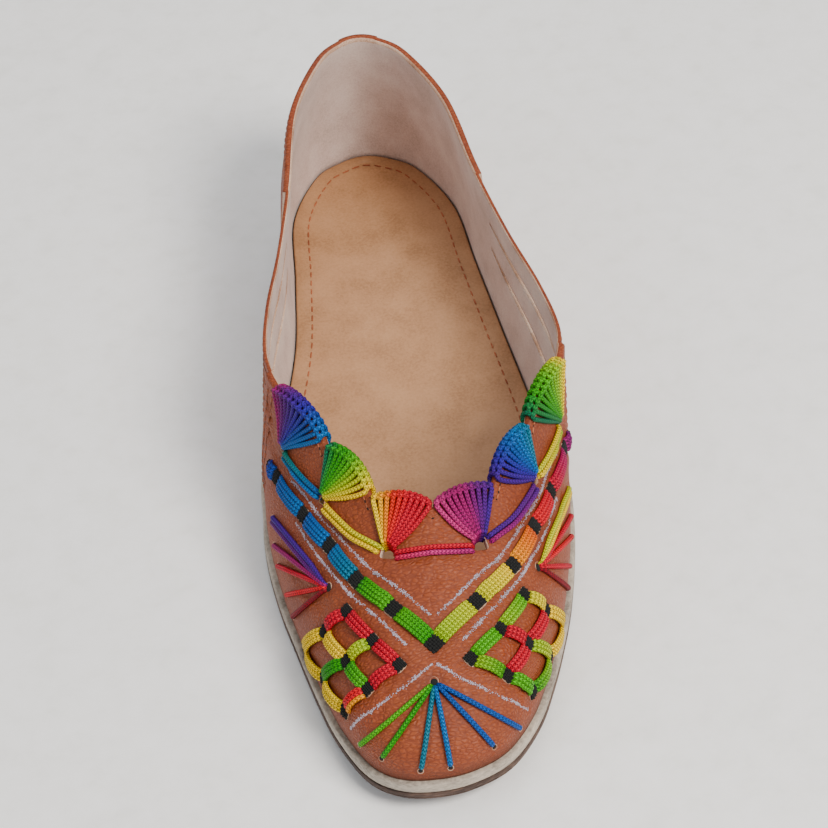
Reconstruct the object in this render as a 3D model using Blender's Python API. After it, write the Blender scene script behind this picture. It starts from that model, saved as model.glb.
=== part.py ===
"""Embroidered leather slip-on flat, left shoe: toe towards -Y, inner side towards -X, standing on z = 0."""
import math
from collections import namedtuple

import bpy
import numpy as np
from mathutils import Vector
from mathutils.bvhtree import BVHTree

MM = 0.001

# Named sizes. Everything below is worked out from these and from the tables of shares.
LENGTH = 246 * MM
BALL_WIDTH = 90 * MM
INSTEP = 46 * MM
TOE_SPRING = 5 * MM
HEEL_LIFT = 5 * MM
OUTSOLE = 2.8 * MM
MIDSOLE = 3.2 * MM
INSOLE = 1.6 * MM
VAMP_WALL = 2.3 * MM
STRIP_WALL = 1.3 * MM
RIM = 1.5 * MM
CORD = 1.45 * MM
RIBBON = 4.5 * MM
SQUARE = 3.8 * MM
LATTICE_RIBBON = 3.8 * MM
GAP = 0.35 * MM
JOINT = 0.3 * MM

# The frame's origin: middle of the footprint, this share of the ball width off the middle line.
ORIGIN = np.array([0.01956 * BALL_WIDTH, 0.5 * LENGTH, 0.0])
HEEL_BREAST = 0.70
ARCH_FROM, ARCH_TO = 0.46, 0.80
SPRING_TO = 0.25
VAMP_FACES = math.radians(50)

Fold = namedtuple(
    "Fold", "foot_y foot_in foot_out edge_y edge_x edge_z puff rise reach drop"
)
# One row for each fold of the upper, from the toe round to the heel. foot_y and edge_y are shares of the
# length, foot_in, foot_out, edge_x, puff and reach of the ball width, edge_z of the instep, rise and drop
# of the fold's own height.
FOLDS = (
    Fold(0.000, 0.000, 0.000, 0.252, 0.000, 1.000, 0.030, 0.56, 0.290, 0.44),
    Fold(0.006, 0.100, 0.106, 0.254, 0.045, 0.998, 0.030, 0.56, 0.285, 0.44),
    Fold(0.030, 0.182, 0.214, 0.258, 0.089, 0.994, 0.030, 0.55, 0.265, 0.42),
    Fold(0.080, 0.256, 0.300, 0.265, 0.135, 0.985, 0.030, 0.53, 0.225, 0.38),
    Fold(0.135, 0.318, 0.345, 0.276, 0.181, 0.980, 0.028, 0.50, 0.180, 0.34),
    Fold(0.200, 0.390, 0.374, 0.304, 0.231, 0.990, 0.026, 0.46, 0.135, 0.31),
    Fold(0.260, 0.448, 0.396, 0.335, 0.280, 1.005, 0.024, 0.43, 0.095, 0.29),
    Fold(0.315, 0.482, 0.416, 0.368, 0.333, 1.020, 0.022, 0.42, 0.060, 0.29),
    Fold(0.365, 0.498, 0.430, 0.404, 0.389, 1.035, 0.022, 0.42, 0.030, 0.30),
    Fold(0.410, 0.496, 0.436, 0.439, 0.437, 1.050, 0.022, 0.42, 0.010, 0.32),
    Fold(0.470, 0.488, 0.430, 0.494, 0.468, 1.050, 0.022, 0.42, 0.004, 0.32),
    Fold(0.560, 0.430, 0.408, 0.569, 0.442, 1.055, 0.022, 0.42, 0.004, 0.32),
    Fold(0.660, 0.366, 0.370, 0.659, 0.380, 1.080, 0.020, 0.42, 0.006, 0.32),
    Fold(0.770, 0.334, 0.332, 0.764, 0.318, 1.140, 0.020, 0.40, 0.010, 0.32),
    Fold(0.880, 0.306, 0.300, 0.872, 0.262, 1.250, 0.022, 0.38, 0.022, 0.34),
    Fold(0.960, 0.204, 0.200, 0.944, 0.158, 1.340, 0.026, 0.36, 0.034, 0.34),
    Fold(0.990, 0.097, 0.097, 0.970, 0.075, 1.370, 0.028, 0.35, 0.040, 0.34),
    Fold(1.000, 0.000, 0.000, 0.978, 0.000, 1.380, 0.028, 0.35, 0.040, 0.34),
)
HEEL_FOLD = len(FOLDS) - 1
COLUMN = {name: np.array([row[i] for row in FOLDS]) for i, name in enumerate(Fold._fields)}

# Swing of the middle line across the shoe: share of the length, share of the ball width.
MIDDLE = ((0.00, -0.042), (0.10, -0.024), (0.25, 0.036), (0.40, 0.050), (0.60, 0.035), (1.00, 0.000))

# Scallops of the opening on each side: fold where one starts, fold where it ends, its depth in mm.
SCALLOPS = ((0.0, 4.0, 2.4), (4.0, 6.5, 3.6), (6.5, 9.0, 4.6))
WING_END = 9.55
COUNTER_FROM = 12.9
# Slits between the three strips of each quarter: from and to, as shares of the strip's height.
SLITS = ((0.43, 0.49), (0.71, 0.77))
SLIT_FOLDS = (10.0, 12.5)

Fan = namedtuple("Fan", "name start end hole_u hole_t size cords")
# Fans of cord at the opening: first and last fold on the edge, fold and share of their hole, hole size.
FANS = (
    Fan("front", 0.14, 3.85, 2.40, 0.850, 1.00, 7),
    Fan("middle", 4.18, 6.34, 5.82, 0.775, 0.72, 6),
    Fan("rear", 6.66, 8.92, 8.07, 0.700, 0.72, 7),
)
# Each place on the leather is a fold and a share of that fold.
BAND_SQUARES = ((0.0, 0.590), (1.70, 0.680), (3.52, 0.685), (4.95, 0.660), (6.28, 0.595), (7.95, 0.510))
BAND_END = (8.50, 0.480)
# The lattice's squares, three lines of three, from the corner nearest the sole's edge at the toe.
LATTICE = (
    ((2.85, 0.180), (3.90, 0.155), (4.83, 0.085)),
    ((2.17, 0.375), (3.05, 0.390), (4.17, 0.365)),
    ((1.20, 0.510), (2.30, 0.545), (3.55, 0.550)),
)
# Double cords between the fans' holes.
LINK_REAR = ((7.98, 0.682), (6.90, 0.715), (5.98, 0.762))
LINK_FRONT = ((5.68, 0.752), (4.20, 0.808), (2.72, 0.836))
LINK_MIDDLE = (2.28, 0.832)
TOE_ORIGIN = (0.0, 0.460)
TOE_ENDS = ((-2.35, 0.075), (-1.55, 0.110), (-0.40, 0.082), (0.40, 0.082), (1.55, 0.110), (2.35, 0.075))
SIDE_ORIGIN = (4.50, 0.525)
SIDE_ENDS = ((7.55, 0.300), (7.20, 0.195), (6.80, 0.145), (6.07, 0.125), (5.67, 0.075))


def rows(values, s, odd=False):
    """A table's column read between its rows, reflected past both ends so that the middle stays smooth."""
    v = np.asarray(values, float)
    sign = -1.0 if odd else 1.0
    v = np.concatenate([sign * v[3:0:-1], v, sign * v[-2:-5:-1]])
    s = np.asarray(s, float) + 3
    i = np.clip(np.floor(s).astype(int), 1, len(v) - 3)
    f = s - i
    a, b, c, d = v[i - 1], v[i], v[i + 1], v[i + 2]
    return b + 0.5 * f * (c - a + f * (2 * a - 5 * b + 4 * c - d + f * (3 * (b - c) + d - a)))


def middle(y):
    """Offset of the shoe's middle line at a distance y from the toe."""
    table = np.array(MIDDLE)
    x, v = table[:, 0], table[:, 1]
    slope = np.gradient(v, x)
    share = np.clip(np.asarray(y, float) / LENGTH, 0, 1)
    i = np.clip(np.searchsorted(x, share) - 1, 0, len(x) - 2)
    h = x[i + 1] - x[i]
    t = (share - x[i]) / h
    value = (
        (2 * t**3 - 3 * t**2 + 1) * v[i]
        + (t**3 - 2 * t**2 + t) * h * slope[i]
        + (3 * t**2 - 2 * t**3) * v[i + 1]
        + (t**3 - t**2) * h * slope[i + 1]
    )
    return BALL_WIDTH * value


def ease(t):
    t = np.clip(t, 0, 1)
    return t * t * (3 - 2 * t)


def bed(y):
    """Height of the midsole's top, where the upper stands."""
    share = np.asarray(y, float) / LENGTH
    spring = TOE_SPRING * np.clip((SPRING_TO - share) / SPRING_TO, 0, 1) ** 2
    lift = HEEL_LIFT * ease((share - ARCH_FROM) / (ARCH_TO - ARCH_FROM))
    return OUTSOLE + MIDSOLE + spring + lift


def feather(u):
    """Point of the feather edge and its outward direction in plan. u is a fold, negative on the inner side."""
    u = np.asarray(u, float)
    side, s = np.where(u < 0, -1.0, 1.0), np.abs(u)

    def plan(s):
        inner, outer = rows(COLUMN["foot_in"], s, True), rows(COLUMN["foot_out"], s, True)
        # past either end the outline runs on round the other side
        near = np.where(side < 0, inner, outer)
        far = np.where(side < 0, outer, inner)
        across = np.where((s < 0) | (s > HEEL_FOLD), far, near)
        y = LENGTH * rows(COLUMN["foot_y"], s)
        return side * BALL_WIDTH * across + middle(y), y

    x, y = plan(s)
    x1, y1 = plan(s + 0.02)
    x0, y0 = plan(s - 0.02)
    gx, gy = x1 - x0, y1 - y0
    n = np.hypot(gx, gy)
    return x, y, side * gy / n, -side * gx / n


def opening(u):
    """Point of the opening's edge without its scallops."""
    u = np.asarray(u, float)
    side, s = np.where(u < 0, -1.0, 1.0), np.abs(u)
    y = LENGTH * rows(COLUMN["edge_y"], s)
    x = side * BALL_WIDTH * rows(COLUMN["edge_x"], s, True) + middle(y)
    return x, y, INSTEP * rows(COLUMN["edge_z"], s)


def skin(u, t):
    """Outer face of the upper: t runs from the feather edge (0) to the opening (1)."""
    u, t = np.broadcast_arrays(np.asarray(u, float), np.asarray(t, float))
    s = np.abs(u)
    fx, fy, ox, oy = feather(u)
    fz = bed(fy) + JOINT
    cx, cy, cz = opening(u)
    height = cz - fz
    puff = BALL_WIDTH * rows(COLUMN["puff"], s)
    reach = BALL_WIDTH * rows(COLUMN["reach"], s)
    rise = height * rows(COLUMN["rise"], s)
    drop = height * rows(COLUMN["drop"], s)
    dx, dy = fx - cx, fy - cy
    d = np.hypot(dx, dy) + 1e-9
    along = np.clip(d / (0.10 * BALL_WIDTH), 0, 1)
    ux, uy = along * dx / d + (1 - along) * ox, along * dy / d + (1 - along) * oy
    n = np.hypot(ux, uy)
    ux, uy = ux / n, uy / n
    p0 = np.stack([fx, fy, fz], -1)
    p1 = np.stack([fx + ox * puff, fy + oy * puff, fz + rise], -1)
    p2 = np.stack([cx + ux * reach, cy + uy * reach, cz - drop], -1)
    p3 = np.stack([cx, cy, cz], -1)
    k = t[..., None]
    return (1 - k) ** 3 * p0 + 3 * (1 - k) ** 2 * k * p1 + 3 * (1 - k) * k * k * p2 + k**3 * p3


def normal(u, t):
    """Unit outward direction of the skin."""
    u, t = np.broadcast_arrays(np.asarray(u, float), np.asarray(t, float))
    du = skin(u + 0.01, t) - skin(u - 0.01, t)
    dt = skin(u, t + 0.004) - skin(u, t - 0.004)
    n = np.cross(dt, du)
    n = n / np.linalg.norm(n, axis=-1, keepdims=True)
    middle_point = np.stack([0 * u, LENGTH * (0.2 + 0.6 * np.abs(u) / HEEL_FOLD), 0 * u], -1)
    flip = np.sign(np.sum(n * (skin(u, t) - middle_point), -1, keepdims=True))
    return n * np.where(flip == 0, 1, flip)


def girth(u):
    """Length of a fold from the feather edge to the opening."""
    line = skin(np.full(24, u), np.linspace(0, 1, 24))
    return float(np.linalg.norm(np.diff(line, axis=0), axis=1).sum())


def rim_share(u):
    """t of the scalloped edge."""
    s = abs(u)
    for start, end, depth in SCALLOPS:
        if start <= s <= end:
            swell = math.sin(math.pi * (s - start) / (end - start)) ** 0.75 if start < s < end else 0.0
            return 1 + depth * MM * swell / girth(u)
    return 1.0


def collection(name):
    found = bpy.data.collections.new(name)
    bpy.context.scene.collection.children.link(found)
    return found


for old in list(bpy.data.objects):
    bpy.data.objects.remove(old, do_unlink=True)
SHOE = collection("embroidered_flat")
CUTTERS = collection("cutters")


def finish(name, colour, roughness):
    m = bpy.data.materials.new(name)
    m.use_nodes = True
    shader = m.node_tree.nodes["Principled BSDF"]
    shader.inputs["Base Color"].default_value = (*colour, 1)
    shader.inputs["Roughness"].default_value = roughness
    return m


LEATHER = finish("tan_leather", (0.42, 0.13, 0.06), 0.55)
MIDSOLE_FOAM = finish("cream_midsole", (0.52, 0.47, 0.40), 0.8)
OUTSOLE_RUBBER = finish("brown_outsole", (0.07, 0.04, 0.03), 0.7)
INSOLE_LEATHER = finish("insole_leather", (0.55, 0.38, 0.26), 0.7)
BLUE_CORD = finish("blue_cord", (0.01, 0.15, 0.33), 0.6)
GREEN_CORD = finish("green_cord", (0.07, 0.34, 0.01), 0.6)
RED_CORD = finish("red_cord", (0.5, 0.01, 0.03), 0.6)
PURPLE_CORD = finish("purple_cord", (0.1, 0.01, 0.2), 0.6)
YELLOW_CORD = finish("yellow_cord", (0.6, 0.5, 0.01), 0.6)


def solid(name, points, faces, material, home=None):
    mesh = bpy.data.meshes.new(name)
    mesh.from_pydata([tuple(np.asarray(p) - ORIGIN) for p in points], [], faces)
    mesh.update()
    mesh.materials.append(material)
    ob = bpy.data.objects.new(name, mesh)
    (home or SHOE).objects.link(ob)
    return ob


# The sole's layers.

SOLE_FOLDS = np.concatenate([np.linspace(0, 3, 11), np.linspace(3.6, 14, 18), np.linspace(14.4, 17, 8)])
ACROSS = 2


def outline(grow):
    """Both sides of the feather edge grown outward in plan: arrays of inner and outer points, toe to heel."""
    sides = []
    for sign in (-1, 1):
        u = sign * SOLE_FOLDS
        u = np.where(u == 0, sign * 1e-6, u)
        x, y, ox, oy = feather(u)
        sides.append(np.stack([x + ox * grow, y + oy * grow], -1))
    inner, outer = sides
    for end in (0, -1):
        outer[end] = inner[end] = 0.5 * (inner[end] + outer[end])
    return inner, outer


def layer(name, levels, material, breast=None):
    """A plate of the sole. levels are (growth, height function), bottom to top."""
    inner, outer = outline(0)
    points, faces, rings = [], [], []
    count = len(SOLE_FOLDS)
    for grow, height in levels:
        inner, outer = outline(grow)
        ring = []
        for p in list(inner) + list(outer[-2:0:-1]):
            ring.append(len(points))
            points.append((p[0], p[1], float(height(p[1]))))
        rings.append(ring)
    size = len(rings[0])
    for low, high in zip(rings, rings[1:]):
        for i in range(size):
            j = (i + 1) % size
            faces.append((low[i], high[i], high[j], low[j]))
    for ring, (grow, height), top in ((rings[0], levels[0], False), (rings[-1], levels[-1], True)):
        inner, outer = outline(grow)
        grid = [[ring[0]] * (ACROSS + 1)]
        for k in range(1, count - 1):
            row = [ring[k]]
            for a in range(1, ACROSS):
                p = inner[k] + (outer[k] - inner[k]) * a / ACROSS
                row.append(len(points))
                points.append((p[0], p[1], float(height(p[1]))))
            row.append(ring[size - k])
            grid.append(row)
        grid.append([ring[count - 1]] * (ACROSS + 1))
        for one, two in zip(grid, grid[1:]):
            for a in range(ACROSS):
                face = []
                for v in (one[a], one[a + 1], two[a + 1], two[a]):
                    if v not in face:
                        face.append(v)
                faces.append(tuple(face) if top else tuple(reversed(face)))
    return solid(name, points, faces, material)


def tread(y):
    """Underside of the outsole: toe spring, flat forefoot, raised waist and a flat heel."""
    share = y / LENGTH
    if share > HEEL_BREAST:
        return 0.0
    return float(bed(y)) - OUTSOLE - MIDSOLE


def between(*parts):
    return lambda y: float(bed(y)) - sum(parts)


def build_sole():
    # two folds close together carry the step at the heel's breast
    global SOLE_FOLDS
    s = np.linspace(0, HEEL_FOLD, 4001)
    breast = float(np.interp(HEEL_BREAST, rows(COLUMN["foot_y"], s), s))
    keep = SOLE_FOLDS[np.abs(SOLE_FOLDS - breast) > 0.15]
    SOLE_FOLDS = np.sort(np.concatenate([keep, [breast - 0.02, breast + 0.02]]))
    layer(
        "outsole",
        [
            (RIM - 0.6 * MM, tread),
            (RIM + 0.1 * MM, lambda y: tread(y) + 0.7 * MM),
            (RIM, between(MIDSOLE, JOINT)),
        ],
        OUTSOLE_RUBBER,
    )
    layer(
        "midsole",
        [
            (RIM - 0.3 * MM, between(MIDSOLE)),
            (RIM + 0.2 * MM, between(0.5 * MIDSOLE)),
            (RIM - 0.3 * MM, between(0.0)),
        ],
        MIDSOLE_FOAM,
    )
    inset = VAMP_WALL + 0.5 * MM
    layer("insole", [(-inset, between(-JOINT)), (-inset, between(-JOINT - INSOLE))], INSOLE_LEATHER)


# The upper, one closed body with its slits and fan holes.


def build_upper():
    half = np.concatenate(
        [
            np.linspace(0, 4, 9),
            np.linspace(4, 6.5, 8)[1:],
            np.linspace(6.5, 9, 9)[1:],
            [WING_END, WING_END + 0.06, SLIT_FOLDS[0], 10.5, 11.0, 11.5, 12.0, SLIT_FOLDS[1]],
            [COUNTER_FROM - 0.06, COUNTER_FROM, 13.4, 14.0, 14.5, 15.0, 15.5, 16.0, 16.5, HEEL_FOLD],
        ]
    )
    around = np.concatenate([-half[::-1][:-1], half[:-1]])
    cuts = [v for slit in SLITS for v in slit]
    shares = np.array(sorted([0, 0.05, 0.12, 0.21, 0.32, 0.60, 0.88, 1.0] + cuts))
    n, m = len(around), len(shares)

    def recessed(a, b):
        s = sorted((abs(a), abs(b)))
        return s[0] >= WING_END and s[1] <= COUNTER_FROM

    def thin(u):
        return WING_END + 0.03 < abs(u) < COUNTER_FROM - 0.03

    outer, inner = [], []
    for u in around:
        top = rim_share(u)
        t = shares * top
        p, q = skin(np.full(m, u), t), normal(np.full(m, u), t)
        lean = q.copy()
        lean[:2, 2] = 0
        lean = lean / np.linalg.norm(lean, axis=1, keepdims=True)
        outer.append(p - q * ((VAMP_WALL - STRIP_WALL) if thin(u) else 0))
        inner.append(p - lean * VAMP_WALL)
    points, index = [], {}
    for kind, grid in (("o", outer), ("i", inner)):
        for a in range(n):
            for b in range(m):
                index[kind, a, b] = len(points)
                points.append(grid[a][b])
    missing = set()
    for a in range(n):
        one, two = around[a], around[(a + 1) % n]
        if one * two < 0 or abs(one) > 16:
            continue
        low, high = sorted((abs(one), abs(two)))
        if low >= SLIT_FOLDS[0] - 1e-6 and high <= SLIT_FOLDS[1] + 1e-6:
            for b in range(m - 1):
                if any(shares[b] >= x - 1e-6 and shares[b + 1] <= y + 1e-6 for x, y in SLITS):
                    missing.add((a, b))
    faces = []
    for a in range(n):
        c = (a + 1) % n
        for b in range(m - 1):
            if (a, b) in missing:
                continue
            faces.append((index["o", a, b], index["o", c, b], index["o", c, b + 1], index["o", a, b + 1]))
            faces.append((index["i", a, b], index["i", a, b + 1], index["i", c, b + 1], index["i", c, b]))
        faces.append((index["o", a, 0], index["i", a, 0], index["i", c, 0], index["o", c, 0]))
        e = m - 1
        faces.append((index["o", a, e], index["o", c, e], index["i", c, e], index["i", a, e]))
    for a, b in missing:
        c, d = (a + 1) % n, b + 1
        if ((a - 1) % n, b) not in missing:
            faces.append((index["o", a, d], index["o", a, b], index["i", a, b], index["i", a, d]))
        if (c, b) not in missing:
            faces.append((index["o", c, b], index["o", c, d], index["i", c, d], index["i", c, b]))
        if (a, b - 1) not in missing:
            faces.append((index["o", a, b], index["o", c, b], index["i", c, b], index["i", a, b]))
        if (a, d) not in missing:
            faces.append((index["o", a, d], index["i", a, d], index["i", c, d], index["o", c, d]))
    upper = solid("upper", points, faces, LEATHER)
    for fan in FANS:
        for sign in (-1, 1):
            cut_hole(upper, sign * fan.hole_u, fan.hole_t, fan.size)
    return upper


def cut_hole(upper, u, t, size):
    """A small four-cornered hole through the leather, wider towards the opening."""
    centre, out = skin(u, t), normal(u, t)
    up = skin(u, t + 0.02) - skin(u, t)
    up = up - out * np.dot(up, out)
    up /= np.linalg.norm(up)
    across = np.cross(up, out)
    corners = []
    for depth in (-2.2 * VAMP_WALL, 1.2 * VAMP_WALL):
        for a, b in ((-1.9, -1.7), (1.9, -1.7), (1.5, 1.7), (-1.5, 1.7)):
            corners.append(centre + out * depth + (across * a + up * b) * size * MM)
    faces = [(0, 3, 2, 1), (4, 5, 6, 7), (0, 1, 5, 4), (1, 2, 6, 5), (2, 3, 7, 6), (3, 0, 4, 7)]
    volume = np.dot(np.cross(corners[1] - corners[0], corners[3] - corners[0]), corners[4] - corners[0])
    if volume < 0:
        faces = [tuple(reversed(f)) for f in faces]
    cutter = solid(f"cut_fan_hole_{'in' if u < 0 else 'out'}_{abs(u):.0f}", corners, faces, LEATHER, CUTTERS)
    cutter.hide_render = True
    cutter.display_type = "WIRE"
    bore = upper.modifiers.new(cutter.name, "BOOLEAN")
    bore.operation = "DIFFERENCE"
    bore.solver = "EXACT"
    bore.object = cutter


# What lies on the leather.


def field(step_u=0.1, step_t=0.02):
    """A fine copy of the skin that the decoration is laid on."""
    us = np.arange(-9.6, 9.6 + step_u / 2, step_u)
    ts = np.arange(-0.02, 1.1 + step_t / 2, step_t)
    uu, tt = np.meshgrid(us, ts, indexing="ij")
    points = skin(uu, tt).reshape(-1, 3)
    m = len(ts)
    faces = [
        (a * m + b, (a + 1) * m + b, (a + 1) * m + b + 1, a * m + b + 1)
        for a in range(len(us) - 1)
        for b in range(m - 1)
    ]
    out = normal(uu, tt).reshape(-1, 3)
    return BVHTree.FromPolygons([tuple(p) for p in points], faces), faces, points, out


FIELD, FIELD_FACES, FIELD_POINTS, FIELD_OUT = field()


def on_skin(point):
    """The nearest point of the skin and its outward direction."""
    place, _, face, _ = FIELD.find_nearest(Vector(point))
    corners = list(FIELD_FACES[face])
    reach = [1 / (np.linalg.norm(FIELD_POINTS[c] - np.array(place)) + 1e-6) for c in corners]
    out = sum(w * FIELD_OUT[c] for w, c in zip(reach, corners))
    return np.array(place), out / np.linalg.norm(out)


def unit(v):
    return v / np.linalg.norm(v)


def under_view(point):
    """The skin's point above a point inside, along the slope that faces the vamp."""
    view = Vector((0.0, -math.cos(VAMP_FACES), math.sin(VAMP_FACES)))
    hit = FIELD.ray_cast(Vector(point) + view * 0.5 * LENGTH, -view)[0]
    return np.array(hit) if hit is not None else np.array(point)


def plate(name, sites, faces, material, low=GAP):
    """A closed body over the leather: each site is (point, outward direction, thickness)."""
    p = np.array([s[0] for s in sites])
    out = np.array([s[1] for s in sites])
    thick = np.array([s[2] for s in sites])[:, None]
    facing = 0.0
    for f in faces:
        facing += float(np.dot(np.cross(p[f[1]] - p[f[0]], p[f[2]] - p[f[0]]), out[f[0]]))
    if facing < 0:
        faces = [tuple(reversed(f)) for f in faces]
    count = len(sites)
    points = list(p + out * low) + list(p + out * (low + thick))
    edges = {}
    body = []
    for f in faces:
        body.append(tuple(v + count for v in f))
        body.append(tuple(reversed(f)))
        for a, b in zip(f, f[1:] + f[:1]):
            edges[a, b] = True
    for a, b in edges:
        if (b, a) not in edges:
            body.append((a, b, b + count, a + count))
    return solid(name, points, body, material)


def strip(name, lines, material, low=GAP):
    """A plate whose sites stand in lines of one length."""
    across = len(lines[0])
    sites = [site for line in lines for site in line]
    faces = [
        (k * across + i, k * across + i + 1, (k + 1) * across + i + 1, (k + 1) * across + i)
        for k in range(len(lines) - 1)
        for i in range(across - 1)
    ]
    return plate(name, sites, faces, material, low)


def folds_per_metre(u, t):
    return 0.02 / float(np.linalg.norm(skin(u + 0.01, t) - skin(u - 0.01, t)))


def build_fans():
    for fan in FANS:
        for side, sign, material in (("inner", -1, BLUE_CORD), ("outer", 1, RED_CORD)):
            count = 2 * fan.cords + 1
            reach = 2.1 * MM * fan.size
            spread = 1.7 * MM * fan.size * folds_per_metre(sign * fan.hole_u, fan.hole_t)
            lines = []
            for i in range(count):
                s = fan.start + (fan.end - fan.start) * i / (count - 1)
                u, top = sign * s, rim_share(s)
                share = (i / (count - 1) - 0.5) * 2
                crest = CORD * (1.0 if i % 2 else 0.7)
                start_u = sign * (fan.hole_u + spread * share)
                start_t = fan.hole_t + reach / girth(fan.hole_u)
                line = []
                for k in range(5):
                    f = (k / 4) ** 0.9
                    uu, tt = start_u + (u - start_u) * f, start_t + (top - start_t) * f
                    line.append((skin(uu, tt), normal(uu, tt), crest if k else 0.8 * CORD))
                edge, n = skin(u, top), normal(u, top)
                along = unit(edge - skin(u, top - 0.02))
                # over the edge and a little way down inside
                line.append((edge + along * 0.1 * MM, unit(n + 0.9 * along), 1.2 * CORD))
                line.append((edge - n * VAMP_WALL + along * 0.1 * MM, unit(0.9 * along - n), 1.2 * CORD))
                line.append((edge - along * 2.6 * MM - n * (VAMP_WALL + 0.1 * MM), -n, 0.9 * CORD))
                lines.append(line)
            strip(f"fan_{fan.name}_{side}", lines, material)


def course(places, steps):
    """Points dropped on the skin along straight runs between places, with their distances."""
    knots = [skin(u, t) for u, t in places]
    line = []
    for a, b in zip(knots, knots[1:]):
        for k in range(steps):
            line.append(on_skin(a + (b - a) * k / steps)[0])
    line.append(on_skin(knots[-1])[0])
    line = np.array(line)
    gone = np.concatenate([[0], np.cumsum(np.linalg.norm(np.diff(line, axis=0), axis=1))])
    return line, gone


def at(line, gone, where):
    p = np.array([np.interp(where, gone, line[:, i]) for i in range(3)])
    q = np.array([np.interp(where + 0.6 * MM, gone, line[:, i]) for i in range(3)])
    r = np.array([np.interp(where - 0.6 * MM, gone, line[:, i]) for i in range(3)])
    return p, unit(q - r)


def crosswise(point, heading, width, height, steps, edge=0.72):
    """Sites across a strip at a point."""
    place, out = on_skin(point)
    across = unit(np.cross(out, heading))
    line = []
    for i in range(steps + 1):
        share = 2 * i / steps - 1
        spot, up = on_skin(place + across * share * width / 2)
        line.append((spot, up, height * (1 - (1 - edge) * share * share)))
    return line


def build_band():
    inner = [(-u, t) for u, t in (BAND_END,) + BAND_SQUARES[:0:-1]]
    places = inner + [BAND_SQUARES[0]] + [(-u, t) for u, t in inner[::-1]]
    line, gone = course(places, 6)
    middle_at = gone[len(gone) // 2]
    stops = [gone[6 * k] for k in range(len(places))]
    marks = [(stops[0], 0.7)]
    for k in range(1, len(stops)):
        start = stops[k - 1] + (SQUARE / 2 if k > 1 else 0)
        end = stops[k] - (SQUARE / 2 if k < len(stops) - 1 else 0)
        marks += [(start + 0.25 * MM, 1.0), (start + (end - start) * 0.33, 1.15)]
        marks += [(start + (end - start) * 0.67, 1.15), (end - 0.25 * MM, 1.0)]
        if k < len(stops) - 1:
            marks += [(end, 0.62), (stops[k], 0.66), (stops[k] + SQUARE / 2, 0.62)]
    marks.append((stops[-1], 0.7))
    lines = []
    for where, height in marks:
        point, heading = at(line, gone, where)
        if abs(where - middle_at) < 1e-6:
            # the corner of the V: its section stands along the shoe
            place, out = on_skin(point)
            heading = unit(np.array([1.0, 0.0, 0.0]) - out * out[0])
            lines.append(crosswise(point, heading, 1.32 * RIBBON, height * CORD, 4))
        else:
            if abs(where - middle_at) < SQUARE / 2 + 0.01 * MM:
                left = where < middle_at
                near, _ = at(line, gone, middle_at)
                heading = unit((near - point) if left else (point - near))
            lines.append(crosswise(point, heading, RIBBON, height * CORD, 4))
    strip("band", lines, GREEN_CORD)


def build_lattice(side, sign, material):
    """Three by three squares joined by ribbons, standing on a corner."""
    knots = np.array([[skin(sign * u, t) for u, t in line] for line in LATTICE])
    steps = [np.linalg.norm(knots[1, 2] - knots[1, 0]), np.linalg.norm(knots[2, 1] - knots[0, 1])]
    pitch = sum(steps) / 4
    half = LATTICE_RIBBON / 2 / pitch
    marks = [-1 - half, -1 + half, -0.5, -half, half, 0.5, 1 - half, 1 + half]
    holes = (1, 2, 4, 5)
    size = len(marks)

    def weights(x):
        return np.array([x * (x - 1) / 2, 1 - x * x, x * (x + 1) / 2])

    index, sites, faces = {}, [], []

    def site(i, j):
        if (i, j) not in index:
            spot, out = on_skin(np.einsum("a,b,abc->c", weights(marks[i]), weights(marks[j]), knots))
            raised = (i in (2, 5)) != (j in (2, 5))
            index[i, j] = len(sites)
            sites.append((spot, out, CORD * (1.15 if raised else 0.75)))
        return index[i, j]

    for i in range(size - 1):
        for j in range(size - 1):
            if not (i in holes and j in holes):
                faces.append((site(i, j), site(i + 1, j), site(i + 1, j + 1), site(i, j + 1)))
    plate(f"lattice_{side}", sites, faces, material)


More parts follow.
